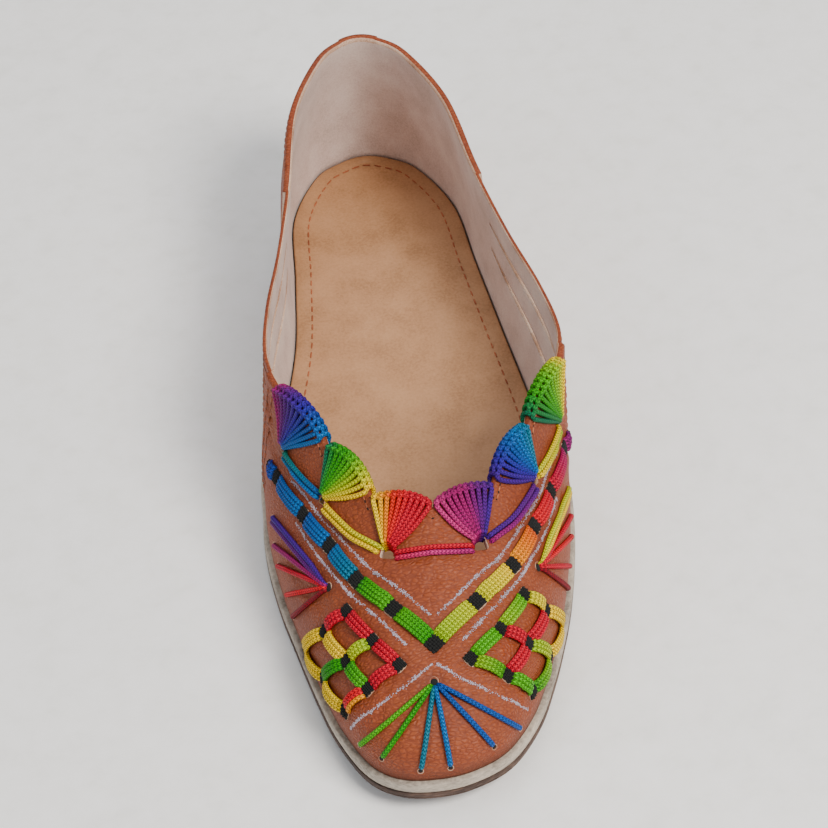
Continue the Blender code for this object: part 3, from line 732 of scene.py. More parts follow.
@dataclass(frozen=True)
class KnittedCord(Finish):
    """Space-dyed polyester cord, knitted as a tube: small V stitches in columns round it, a dull shine on
    the filament and shadow between the legs. The stitches are drawn about a fifth coarser than real, so
    that they show."""

    name: str = "space_dyed_knitted_cord"
    colour: str = "B0203A"
    roughness: float = 0.55
    specular: float = 0.22
    lean: float = 0.62
    depth: float = 0.24 * MM

    def build(self) -> Material:
        """Makes the cord's colour from its dye and its stitches.

        Returns:
            The material.
        """
        material, tree, shader = self.start()
        knit = add(tree, "ShaderNodeUVMap", uv_map="knit")
        parts = add(tree, "ShaderNodeSeparateXYZ", {0: knit})

        across = fold_back(tree, parts.outputs["X"])
        phase = add(tree, MATH, {0: across, 1: self.lean, 2: parts.outputs["Y"]}, operation="MULTIPLY_ADD")
        leg = fold_back(tree, phase.outputs[0])
        legs = add(
            tree, MAP_RANGE, {"Value": leg, "From Min": 1.0, "From Max": 0.35},
            interpolation_type="SMOOTHSTEP",
        )
        groove = add(
            tree, MAP_RANGE, {"Value": across, "From Min": 1.0, "From Max": 0.72, "To Min": 0.45},
            interpolation_type="SMOOTHSTEP",
        )
        height = add(tree, MATH, {0: legs, 1: groove}, operation="MULTIPLY")
        dye = add(tree, "ShaderNodeAttribute", attribute_name="dye")
        place = add(tree, "ShaderNodeTexCoord").outputs["Object"]
        mottle = add(tree, NOISE, {"Vector": place, "Scale": 900.0, "Detail": 2.0})
        # painted shade between the stitch legs and in the column grooves, with a slight painted highlight on the
        # legs' tops
        shade = add(tree, MATH, {0: mottle.outputs["Fac"], 1: 0.35, 2: height}, operation="MULTIPLY_ADD")
        value = add(
            tree, MAP_RANGE,
            {"Value": shade, "From Min": 0.1, "From Max": 1.2, "To Min": 0.15, "To Max": 1.12},
        )
        lit = add(tree, VECTOR_MATH, {0: dye.outputs["Color"], "Scale": value}, operation="SCALE")
        tree.links.new(lit.outputs[0], shader.inputs["Base Color"])
        bump = add(tree, "ShaderNodeBump", {"Height": height, "Distance": self.depth, "Strength": 0.8})
        tree.links.new(bump.outputs[0], shader.inputs["Normal"])
        return material


class Materials:
    """Every finish of the shoe, made once."""

    def __init__(self) -> None:
        """Builds the materials."""
        self.leather = GrainLeather().build()
        self.lining = NappedFinish(
            "cream_split_lining", "CDB8AF", 0.9, sheen=0.2, light="D9C8BE", dark="B9A499", grain=0.6 * MM,
        ).build()
        self.cut = NappedFinish(
            "raw_cut_edge", "BC957A", 0.9, sheen=0.1, light="D9BFAA", dark="8C6248", grain=0.35 * MM,
        ).build()
        self.cord = KnittedCord().build()
        # black thread of the woven squares; also used for the painted shade in the cords' holes and the needle
        # holes
        self.black = NappedFinish(
            "black_cotton_thread", "090B0B", 0.9, light="171A1B", dark="040505", grain=0.3 * MM,
        ).build()
        self.seam = NappedFinish(
            "rust_brown_seam_thread", "9E5430", 0.65, light="BA6E48", dark="6E3218", grain=0.3 * MM,
        ).build()
        # pale crepe whose side is sanded: drawn-out pores along the sole
        self.crepe = NappedFinish(
            "cream_crepe_midsole", "A79C8E", 0.85, light="C6B9A8", dark="766C62", grain=0.8 * MM,
            depth=0.2 * MM, stretch=(0.55, 0.55, 2.2), speck=0.5,
        ).build()
        # sole leather board pressed in layers, stained dark
        self.sole = NappedFinish(
            "brown_sole_board", "4B382F", 0.75, light="70584B", dark="2A1C17", grain=0.9 * MM,
            depth=0.25 * MM, stretch=(0.35, 0.35, 3.0), speck=0.35,
        ).build()
        self.sock = NappedFinish(
            "beige_sock_leather", "AE8058", 0.6, light="B88A62", dark="9C7049", grain=0.8 * MM,
            depth=0.08 * MM,
        ).build()
        self.silver = Finish("silver_marking_flakes", "C4BAC8", 0.42, metallic=0.3).build()
        self.floor = NappedFinish(
            "pale_paper_floor", "FCFCFB", 0.9, light="FFFFFF", dark="F6F6F4", grain=6 * MM, depth=0.02 * MM,
        ).build()


# Geometry Nodes trees.


def new_tree(name: str, inputs: tuple) -> tuple:
    """Makes an empty tree.

    Args:
        name: the tree's name.
        inputs: tuples of name, socket type and default value.

    Returns:
        The tree, its input node and its output node.
    """
    tree = bpy.data.node_groups.new(name, "GeometryNodeTree")
    tree.interface.new_socket("Geometry", in_out="INPUT", socket_type="NodeSocketGeometry")
    for label, kind, value in inputs:
        socket = tree.interface.new_socket(label, in_out="INPUT", socket_type=kind)
        if value is not None:
            socket.default_value = value
    tree.interface.new_socket("Geometry", in_out="OUTPUT", socket_type="NodeSocketGeometry")
    return tree, tree.nodes.new("NodeGroupInput"), tree.nodes.new("NodeGroupOutput")


def run_tree(ob: Piece, tree: Tree, values: dict) -> Piece:
    """Runs a tree on an object and keeps the result as a plain mesh.

    Args:
        ob: the object.
        tree: the Geometry Nodes tree.
        values: input name to value.

    Returns:
        The object.
    """
    modifier = ob.modifiers.new(tree.name, "NODES")
    modifier.node_group = tree
    for item in tree.interface.items_tree:
        if item.item_type == "SOCKET" and item.in_out == "INPUT" and item.name in values:
            modifier[item.identifier] = values[item.name]
    graph = bpy.context.evaluated_depsgraph_get()
    made = bpy.data.meshes.new_from_object(
        ob.evaluated_get(graph), preserve_all_data_layers=True, depsgraph=graph,
    )
    ob.modifiers.remove(modifier)
    ob.data = made
    return ob


def knit_tree() -> Tree:
    """Tree that sweeps a knitted tube along each line of a mesh. Points carry "swell", their share of the
    tube's thickness, and "dye". It stores the map "knit": columns round the tube and stitches along it.

    Returns:
        The tree.
    """
    tree, given, result = new_tree(
        "knitted_tube",
        (
            ("Thickness", "NodeSocketFloat", 1.45 * MM),
            ("Ring Spacing", "NodeSocketFloat", 0.26 * MM),
            ("Stitch", "NodeSocketFloat", 1.0 * MM),
            ("Columns", "NodeSocketInt", 5),
            ("Sides", "NodeSocketInt", 15),
            ("Relief", "NodeSocketFloat", 0.075 * MM),
            ("Material", "NodeSocketMaterial", None),
        ),
    )
    lines = add(tree, "GeometryNodeMeshToCurve", {0: given.outputs["Geometry"]})
    rings = add(
        tree, "GeometryNodeResampleCurve", {"Curve": lines, "Length": given.outputs["Ring Spacing"]},
        mode="LENGTH",
    )
    reach = add(tree, "GeometryNodeSplineParameter")
    spot = add(tree, "GeometryNodeInputPosition")
    kept = tree.nodes.new("GeometryNodeCaptureAttribute")
    kept.capture_items.new("FLOAT", "Reach")
    kept.capture_items.new("VECTOR", "Centre")
    tree.links.new(rings.outputs[0], kept.inputs[0])
    tree.links.new(reach.outputs["Length"], kept.inputs[1])
    tree.links.new(spot.outputs[0], kept.inputs[2])
    half = add(tree, MATH, {0: given.outputs["Thickness"], 1: 0.5}, operation="MULTIPLY")
    more = add(tree, MATH, {0: given.outputs["Sides"], 1: 1.0}, operation="ADD")
    arc = add(tree, "GeometryNodeCurveArc", {"Resolution": more, "Radius": half, "Sweep Angle": 2 * math.pi})
    turn = add(tree, "GeometryNodeSplineParameter")
    profile = tree.nodes.new("GeometryNodeCaptureAttribute")
    profile.capture_items.new("FLOAT", "Turn")
    tree.links.new(arc.outputs[0], profile.inputs[0])
    tree.links.new(turn.outputs["Factor"], profile.inputs[1])
    swell = add(tree, NAMED, {"Name": "swell"})
    tube = add(tree, "GeometryNodeCurveToMesh", {"Curve": kept, "Profile Curve": profile, "Scale": swell})
    column = add(tree, MATH, {0: profile.outputs[1], 1: given.outputs["Columns"]}, operation="MULTIPLY")
    stitch = add(tree, MATH, {0: kept.outputs[1], 1: given.outputs["Stitch"]}, operation="DIVIDE")
    # relief of the legs, the same waves as the finish draws
    across = fold_back(tree, column.outputs[0])
    phase = add(tree, MATH, {0: across, 1: KnittedCord.lean, 2: stitch}, operation="MULTIPLY_ADD")
    turned = add(tree, MATH, {0: phase, 1: 2 * math.pi}, operation="MULTIPLY")
    wave = add(tree, MATH, {0: turned}, operation="COSINE")
    lift = add(tree, MATH, {0: wave, 1: given.outputs["Relief"]}, operation="MULTIPLY")
    lift = add(tree, MATH, {0: lift, 1: swell}, operation="MULTIPLY")
    here = add(tree, "GeometryNodeInputPosition")
    spoke = add(tree, VECTOR_MATH, {0: here, 1: kept.outputs[2]}, operation="SUBTRACT")
    out = add(tree, VECTOR_MATH, {0: spoke}, operation="NORMALIZE")
    push = add(tree, VECTOR_MATH, {0: out, "Scale": lift}, operation="SCALE")
    moved = add(tree, "GeometryNodeSetPosition", {"Geometry": tube, "Offset": push})
    pair = add(tree, "ShaderNodeCombineXYZ", {0: column, 1: stitch})
    stored = add(
        tree, "GeometryNodeStoreNamedAttribute", {"Geometry": moved, "Name": "knit"}, data_type="FLOAT2",
        domain="CORNER",
    )
    tree.links.new(pair.outputs[0], stored.inputs["Value"])
    joined = add(tree, "GeometryNodeMergeByDistance", {"Geometry": stored, "Distance": 0.004 * MM})
    smooth = add(tree, "GeometryNodeSetShadeSmooth", {"Geometry": joined})
    dressed = add(
        tree, "GeometryNodeSetMaterial", {"Geometry": smooth, "Material": given.outputs["Material"]},
    )
    tree.links.new(dressed.outputs[0], result.inputs[0])
    return tree


def scatter_tree() -> Tree:
    """Tree that sets a copy of a pattern piece on every point of a mesh. Points carry "out", "heading" and
    "size"; Vary changes the sizes at random from a fixed Seed.

    Returns:
        The tree.
    """
    tree, given, result = new_tree(
        "sewn_repeats",
        (
            ("Pattern", "NodeSocketObject", None),
            ("Vary", "NodeSocketFloat", 0.0),
            ("Seed", "NodeSocketInt", 7),
            ("Material", "NodeSocketMaterial", None),
        ),
    )
    pattern = add(tree, "GeometryNodeObjectInfo", {"Object": given.outputs["Pattern"]})
    out = add(tree, NAMED, {"Name": "out"}, data_type="FLOAT_VECTOR")
    heading = add(tree, NAMED, {"Name": "heading"}, data_type="FLOAT_VECTOR")
    size = add(tree, NAMED, {"Name": "size"}, data_type="FLOAT_VECTOR")
    turn = add(tree, "FunctionNodeAxesToRotation", {0: out, 1: heading}, primary_axis="Z", secondary_axis="X")
    low = add(tree, MATH, {0: 1.0, 1: given.outputs["Vary"]}, operation="SUBTRACT")
    high = add(tree, MATH, {0: 1.0, 1: given.outputs["Vary"]}, operation="ADD")
    random = add(tree, "FunctionNodeRandomValue", data_type="FLOAT")
    tree.links.new(low.outputs[0], random.inputs[2])
    tree.links.new(high.outputs[0], random.inputs[3])
    tree.links.new(given.outputs["Seed"], random.inputs[8])
    scale = add(tree, VECTOR_MATH, {0: size, "Scale": random.outputs[1]}, operation="SCALE")
    placed = add(
        tree,
        "GeometryNodeInstanceOnPoints",
        {
            "Points": given.outputs["Geometry"],
            "Instance": pattern.outputs["Geometry"],
            "Rotation": turn,
            "Scale": scale,
        },
    )
    real = add(tree, "GeometryNodeRealizeInstances", {0: placed})
    dressed = add(tree, "GeometryNodeSetMaterial", {"Geometry": real, "Material": given.outputs["Material"]})
    tree.links.new(dressed.outputs[0], result.inputs[0])
    return tree


@dataclass
class CordRun:
    """One cord: its middle line, the dye at each point and its share of the full thickness."""

    line: np.ndarray
    dye: np.ndarray
    swell: np.ndarray


class CordMaker:
    """Turns runs of cord into knitted tubes."""

    def __init__(self, materials: Materials) -> None:
        """Makes the tree that all cords share.

        Args:
            materials: the shoe's finishes.
        """
        self.materials = materials
        self.tree = knit_tree()

    @staticmethod
    def run(line: np.ndarray, dyes: tuple[str, ...], swell: np.ndarray | float = 1.0) -> CordRun:
        """Makes a run from a line and the dyes along it.

        Args:
            line: rows of points.
            dyes: hex colours from one end to the other.
            swell: share of the thickness at each point.

        Returns:
            The run, closed to a point at both ends.
        """
        line = np.array(line, float)
        gone = distances(line)
        colours = np.array([blend_dyes(dyes, g / gone[-1]) for g in gone])
        swell = np.broadcast_to(np.asarray(swell, float), (len(line),)).copy()
        # a point right at each end, where the tube closes
        first = line[0] + unit(line[0] - line[1]) * 0.05 * MM
        last = line[-1] + unit(line[-1] - line[-2]) * 0.05 * MM
        return CordRun(
            np.vstack([first, line, last]), np.vstack([colours[:1], colours, colours[-1:]]),
            np.concatenate([[0.0], swell, [0.0]]),
        )

    def make(
        self, name: str, runs: list[CordRun], thickness: float, slot: str, nodes: tuple[str, ...] = (),
    ) -> Piece:
        """Builds one piece from its runs of cord.

        Args:
            name: the piece's name.
            runs: the cords.
            thickness: diameter of a full cord.
            slot: not used.
            nodes: the CAD nodes that the piece stands for.

        Returns:
            The finished object.
        """
        points, edges, dyes, swells = [], [], [], []
        for run in runs:
            base = len(points)
            points += [tuple(p) for p in run.line]
            edges += [(base + i, base + i + 1) for i in range(len(run.line) - 1)]
            dyes += [(*d, 1.0) for d in run.dye]
            swells += list(run.swell)
        mesh = bpy.data.meshes.new(name)
        mesh.from_pydata(points, edges, [])
        mesh.attributes.new("dye", "FLOAT_COLOR", "POINT").data.foreach_set("color", np.array(dyes).ravel())
        mesh.attributes.new("swell", "FLOAT", "POINT").data.foreach_set("value", swells)
        ob = put(name, mesh)
        run_tree(ob, self.tree, {"Thickness": thickness, "Material": self.materials.cord})
        return settle(ob, nodes)


class Repeats:
    """Sets copies of a small pattern piece on points: squares, stitches, flakes, ribs."""

    def __init__(self) -> None:
        """Makes the tree that all repeats share."""
        self.tree = scatter_tree()

    def make(
        self, name: str, pattern: Piece, sites: list, material: Material, slot: str, vary: float = 0.0,
        seed: int = 7,
    ) -> Piece:
        """Builds one piece.

        Args:
            name: the piece's name.
            pattern: the object that is repeated; it is left for other calls.
            sites: tuples of point, outward direction, heading and size along x, y and z.
            material: the piece's material.
            slot: not used.
            vary: share by which sizes change at random.
            seed: fixed seed of that change.

        Returns:
            The finished object.
        """
        mesh = bpy.data.meshes.new(name)
        mesh.from_pydata([tuple(map(float, s[0])) for s in sites], [], [])
        for label, index in (("out", 1), ("heading", 2), ("size", 3)):
            values = np.array([s[index] for s in sites], float).ravel()
            mesh.attributes.new(label, "FLOAT_VECTOR", "POINT").data.foreach_set("vector", values)
        ob = put(name, mesh)
        run_tree(ob, self.tree, {"Pattern": pattern, "Vary": vary, "Seed": seed, "Material": material})
        for label in ("out", "heading", "size"):
            found = ob.data.attributes.get(label)
            if found is not None:
                ob.data.attributes.remove(found)
        return settle(ob)


def settle(ob: Piece, nodes: tuple[str, ...] = ()) -> Piece:
    """Hands a finished piece to the frame.

    Args:
        ob: the piece.
        nodes: the CAD nodes that it stands for.

    Returns:
        The piece.
    """
    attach(ob, "root")
    if nodes:
        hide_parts(*nodes)
    LOG.info("%s: %d faces", ob.name, len(ob.data.polygons))
    return ob


class Patterns:
    """The small pieces that Repeats copies, one unit long, removed once the shoe is done."""

    def __init__(self) -> None:
        """Makes the pattern pieces."""
        self.made = []
        self.pill = self.keep(self.build_pill())
        self.flake = self.keep(self.build_flake())
        self.square = self.keep(self.build_square())
        self.rib = self.keep(self.build_rib())
        self.dish = self.keep(self.build_dish(0.62, 1.0))
        self.plug = self.keep(self.build_dish(0.0, 0.7))

    def keep(self, ob: Piece) -> Piece:
        """Notes a pattern piece, so that it can be removed, and hides it.

        Args:
            ob: the pattern piece.

        Returns:
            The same piece.
        """
        ob.hide_render = True
        self.made.append(ob)
        return ob

    def clear(self) -> None:
        """Removes the pattern pieces."""
        for ob in self.made:
            bpy.data.objects.remove(ob, do_unlink=True)

    @staticmethod
    def build_pill() -> Piece:
        """A stitch: a rounded bar along x, one long, one wide and one high.

        Returns:
            The pattern piece.
        """
        points, faces, rings, sides = [(-0.5, 0.0, 0.0)], [], 4, 6
        for i in range(rings):
            a = math.pi * (i + 1) / (rings + 1)
            x, r = -0.5 * math.cos(a), 0.5 * math.sin(a) ** 0.55
            for j in range(sides):
                b = 2 * math.pi * j / sides
                points.append((x, r * math.cos(b), r * math.sin(b)))
        points.append((0.5, 0.0, 0.0))
        for j in range(sides):
            k = (j + 1) % sides
            faces.append((0, 1 + k, 1 + j))
            for i in range(rings - 1):
                base = 1 + i * sides
                faces.append((base + j, base + k, base + sides + k, base + sides + j))
            base = 1 + (rings - 1) * sides
            faces.append((base + j, base + k, len(points) - 1))
        return plain_mesh("pattern_pill", np.array(points), faces, [])

    @staticmethod
    def build_flake() -> Piece:
        """A flake of marking: a flat, uneven six-cornered chip.

        Returns:
            The pattern piece.
        """
        ring = [(0.52, 0.05), (0.22, 0.46), (-0.30, 0.38), (-0.50, -0.04), (-0.18, -0.45), (0.33, -0.36)]
        points = [(x, y, 0.0) for x, y in ring] + [(0, 0, 0.5), (0, 0, -0.5)]
        faces = []
        for i in range(6):
            faces += [(i, (i + 1) % 6, 6), ((i + 1) % 6, i, 7)]
        return plain_mesh("pattern_flake", np.array(points), faces, [])

    @staticmethod
    def build_square() -> Piece:
        """A square of plain weave, one across: threads over and under each other.

        Returns:
            The pattern piece.
        """
        points, faces, threads, steps, sides = [], [], 6, 18, 6
        for way in (0, 1):
            for n in range(threads):
                off = (n + 0.5) / threads - 0.5
                start = len(points)
                for k in range(steps + 1):
                    x = k / steps - 0.5
                    wave = math.cos(math.pi * ((x + 0.5) * threads - 0.5) + math.pi * (n + way))
                    z = 0.11 * math.sin(math.pi * ((x + 0.5) * threads + n + way))
                    z = z - 0.22 * abs(2 * x) ** 6 + 0.06 * (1 - 4 * x * x) * (1 - 4 * off * off)
                    r = 0.098 * (0.6 if k in (0, steps) else 1.0)
                    for j in range(sides):
                        a = 2 * math.pi * j / sides
                        p, q = off + r * math.cos(a) + 0.004 * wave, z + 0.75 * r * math.sin(a)
                        points.append((x, p, q) if way else (p, x, q))
                for k in range(steps):
                    for j in range(sides):
                        b, m = start + k * sides, (j + 1) % sides
                        quad = (b + j, b + m, b + sides + m, b + sides + j)
                        faces.append(quad if way else quad[::-1])
                low = tuple(start + j for j in range(sides))
                high = tuple(start + steps * sides + j for j in range(sides))
                faces += [low[::-1], high] if way else [low, high[::-1]]
        return plain_mesh("pattern_square", np.array(points), faces, [])

    @staticmethod
    def build_rib() -> Piece:
        """A tread rib: a bar along x with a narrowed foot, one by one by one, hanging from z = 0.

        Returns:
            The pattern piece.
        """
        points, faces = [], []
        for z, grow in ((0.0, 1.0), (-0.75, 0.9), (-1.0, 0.7)):
            for i in range(12):
                a = 2 * math.pi * (i + 0.5) / 12
                x = math.copysign(abs(math.cos(a)) ** 0.5, math.cos(a)) * 0.5 * grow
                y = math.copysign(abs(math.sin(a)) ** 0.5, math.sin(a)) * 0.5 * grow
                points.append((x, y, z))
        for level in (0, 12):
            for i in range(12):
                j = (i + 1) % 12
                faces.append((level + i, level + 12 + i, level + 12 + j, level + j))
        faces += [tuple(range(12)), tuple(range(35, 23, -1))]
        return plain_mesh("pattern_rib", np.array(points), faces, [])

    @staticmethod
    def build_dish(hole: float, rim: float) -> Piece:
        """A round lip or plug, one across: a low ring with a hole, or a filled button where the hole is zero.

        Args:
            hole: share of the radius that is open.
            rim: share of the radius at which it is highest.

        Returns:
            The pattern piece.
        """
        sides, points, faces = 14, [], []
        radii = ((hole, -0.6), (0.5 * (hole + rim), 0.5), (rim, 0.15), (rim, -0.6)) if hole else (
            (rim, -0.6), (0.85 * rim, 0.15), (0.4 * rim, 0.3))
        for r, z in radii:
            for j in range(sides):
                a = 2 * math.pi * j / sides
                points.append((0.5 * r * math.cos(a), 0.5 * r * math.sin(a), z))
        for level in range(len(radii) - 1 + (1 if hole else 0)):
            nxt = (level + 1) % len(radii)
            for j in range(sides):
                k = (j + 1) % sides
                a, b = level * sides, nxt * sides
                quad = (a + j, b + j, b + k, a + k) if hole else (a + j, a + k, b + k, b + j)
                faces.append(quad)
        if not hole:
            faces += [tuple(range(sides - 1, -1, -1)), tuple(range(2 * sides, 3 * sides))]
        return plain_mesh("pattern_dish" if hole else "pattern_plug", np.array(points), faces, [])


# The leather.


def line_distance(points: np.ndarray, line: np.ndarray) -> np.ndarray:
    """Distance from points to a broken line.

    Args:
        points: array whose last axis is x, y, z.
        line: rows of points.

    Returns:
        One distance for each point.
    """
    best = np.full(points.shape[:-1], 1.0)
    for a, b in zip(line, line[1:]):
        run = b - a
        share = np.clip(((points - a) @ run) / max(float(run @ run), 1e-12), 0, 1)
        best = np.minimum(best, np.linalg.norm(points - (a + share[..., None] * run), axis=-1))
    return best


@dataclass(frozen=True)
class Crease:
    """A crease in the leather: its line on one side, how deep and how wide in mm, and the side it is on."""

    places: tuple[Place, ...]
    depth: float
    width: float
    side: int = 0


@dataclass
class Relief:
    """The leather's own relief: creases where the foot bends, puckers round holes, dents under cords."""

    last: Last
    creases: tuple[Crease, ...] = (
        Crease(((0.0, 0.775), (0.9, 0.765), (1.8, 0.745), (2.8, 0.74)), 0.34, 1.5),
        Crease(((0.4, 0.735), (1.2, 0.73), (2.1, 0.705)), 0.2, 1.0),
        Crease(((0.3, 0.845), (1.0, 0.84), (1.7, 0.825)), 0.22, 0.9),
        Crease(((2.6, 0.795), (3.3, 0.765), (4.0, 0.755)), 0.26, 1.1),
        Crease(((5.2, 0.74), (4.7, 0.755), (4.2, 0.78)), 0.22, 1.0),
        Crease(((6.0, 0.71), (6.5, 0.66), (7.1, 0.63)), 0.25, 1.1),
        Crease(((7.4, 0.66), (8.3, 0.60), (9.1, 0.62)), 0.3, 1.4),
        Crease(((8.4, 0.66), (8.9, 0.70), (9.3, 0.78)), 0.25, 1.0),
        Crease(((8.5, 0.42), (8.9, 0.30), (9.2, 0.15)), 0.35, 1.6),
        Crease(((4.4, 0.44), (5.2, 0.36), (6.0, 0.33)), 0.22, 1.5, -1),
        Crease(((5.0, 0.46), (5.9, 0.43), (6.8, 0.44)), 0.22, 1.3, 1),
        Crease(((0.5, 0.36), (0.95, 0.30), (1.15, 0.22)), 0.2, 1.2, -1),
        Crease(((0.2, 0.30), (0.1, 0.22), (0.25, 0.15)), 0.2, 1.2, 1),
        Crease(((2.5, 0.26), (2.3, 0.2), (2.6, 0.12)), 0.22, 1.2, 1),
        Crease(((1.5, 0.42), (1.65, 0.35), (1.6, 0.27)), 0.2, 1.1, 0),
    )
    strength: float = 1.5
    dents: tuple[tuple[float, float, float, float], ...] = ()
    lines: list = field(default_factory=list)
    spots: list = field(default_factory=list)

    def __post_init__(self) -> None:
        """Lays the creases and dents on both sides of the form."""
        for crease in self.creases:
            for sign in (-1, 1):
                if crease.side in (0, sign):
                    knots = np.array([self.last.skin(sign * u, t) for u, t in crease.places])
                    fine = np.linspace(0, len(knots) - 1, 4 * len(knots))
                    i = np.minimum(fine.astype(int), len(knots) - 2)
                    f = ease(fine - i)[:, None] * 0.35 + (fine - i)[:, None] * 0.65
                    line = knots[i] * (1 - f) + knots[i + 1] * f
                    self.lines.append((line, self.strength * crease.depth, crease.width))
        for u, t, depth, width in self.dents:
            for sign in (-1, 1):
                self.spots.append((self.last.skin(sign * u, t), depth, width))

    def __call__(self, u: np.ndarray, t: np.ndarray, points: np.ndarray) -> np.ndarray:
        """Height of the leather over the plain form, in metres.

        Args:
            u: folds.
            t: shares.
            points: the plain form's points.

        Returns:
            One height for each point.
        """
        x, y, z = (points[..., i] / MM for i in range(3))
        rise = 0.10 * np.sin(x / 5.1 + 1.3 * np.sin(y / 9.0)) * np.sin(y / 7.3 + z / 6.0)
        rise += 0.06 * np.sin(x / 2.7 + y / 3.9) * np.sin(z / 3.1 - y / 4.4)
        rise = rise * ease(t / 0.1) * ease((1.0 - t) / 0.05)
        for line, depth, width in self.lines:
            d = line_distance(points, line) / (width * MM)
            rise = rise - depth * np.exp(-(d**2)) + 0.35 * depth * np.exp(-((d - 2.0) ** 2))
        for place, depth, width in self.spots:
            d = np.linalg.norm(points - place, axis=-1) / (width * MM)
            rise = rise - depth * np.exp(-(d**2))
        return rise * MM


@dataclass(frozen=True)
class Fan:
    """A fan of cords at the opening: where it starts and ends on the edge, its hole and its cords."""

    name: str
    start: float
    end: float
    hole: Place
    size: float
    cords: int
    inner: tuple[str, ...]
    outer: tuple[str, ...]


class Dye(str, Enum):
    """Dyes of the cords, as they run into each other."""

    YELLOW = "FCD200"
    AMBER = "F49A00"
    ORANGE = "E24A08"
    VERMILION = "DB2408"
    RED = "DE081E"
    CRIMSON = "CC0029"
    MAROON = "86041C"
    PINK = "CC2E7C"
    MAGENTA = "9E0F66"
    PLUM = "640E78"
    PURPLE = "440E88"
    VIOLET = "2C1AA0"
    BLUE = "0250A6"
    AZURE = "006AB4"
    TEAL = "00738E"
    SEA = "006C48"
    GREEN = "269600"
    LEAF = "4EAE00"
    LIME = "94C200"
    ACID = "CCD000"


FANS = (
    Fan(
        "front", 0.14, 3.85, (2.40, 0.850), 1.00, 10,
        (Dye.YELLOW, Dye.AMBER, Dye.VERMILION, Dye.RED, Dye.CRIMSON, Dye.CRIMSON, Dye.CRIMSON),
        (Dye.PURPLE, Dye.PLUM, Dye.MAGENTA, Dye.MAGENTA, Dye.PINK),
    ),
    Fan(
        "middle", 4.18, 6.34, (5.82, 0.775), 0.72, 11,
        (Dye.SEA, Dye.GREEN, Dye.GREEN, Dye.LEAF, Dye.LIME, Dye.ACID, Dye.YELLOW),
        (Dye.TEAL, Dye.AZURE, Dye.BLUE, Dye.VIOLET, Dye.PURPLE),
    ),
    Fan(
        "rear", 6.66, 8.92, (8.07, 0.700), 0.72, 12,
        (Dye.MAGENTA, Dye.PLUM, Dye.PURPLE, Dye.VIOLET, Dye.BLUE, Dye.AZURE),
        (Dye.YELLOW, Dye.LIME, Dye.LEAF, Dye.GREEN, Dye.SEA),
    ),
)
BAND = ((0.0, 0.590), (1.70, 0.680), (3.52, 0.685), (4.95, 0.660), (6.28, 0.595), (7.95, 0.510))
BAND_END = (8.50, 0.480)
LATTICE = (
    ((2.85, 0.180), (3.90, 0.155), (4.83, 0.085)), ((2.17, 0.375), (3.05, 0.390), (4.17, 0.365)),
    ((1.20, 0.510), (2.30, 0.545), (3.55, 0.550)),
)
LINK_REAR = ((7.98, 0.682), (6.90, 0.715), (5.98, 0.762))
LINK_FRONT = ((5.68, 0.752), (4.20, 0.808), (2.72, 0.836))
LINK_MIDDLE = (2.05, 0.838)
TOE_ORIGIN = (0.0, 0.460)
TOE_ENDS = ((-2.35, 0.075), (-1.55, 0.110), (-0.40, 0.082), (0.40, 0.082), (1.55, 0.110), (2.35, 0.075))
SIDE_ORIGIN = (4.50, 0.525)
SIDE_ENDS = ((7.55, 0.300), (7.20, 0.195), (6.80, 0.145), (6.07, 0.125), (5.67, 0.075))


def pulled_places() -> tuple[tuple[float, float, float, float], ...]:
    """Places where cords pull the leather in, the same on both sides.

    Returns:
        Tuples of fold, share, depth in mm and width in mm.
    """
    groups = [(BAND, 0.42, 3.0), (sum(LATTICE, ()), 0.36, 2.6)]
    groups += [((fan.hole,), 0.5, 3.4 * fan.size) for fan in FANS]
    groups += [((SIDE_ORIGIN,), 0.4, 2.6), (SIDE_ENDS + TOE_ENDS[3:], 0.3, 1.8), ((TOE_ORIGIN,), 0.3, 2.6)]
    return tuple((u, t, depth, width) for places, depth, width in groups for u, t in places)


class Dress(IntEnum):
    """Which of the wall's finishes a face wears."""

    LEATHER = 0
    LINING = 1
    CUT = 2


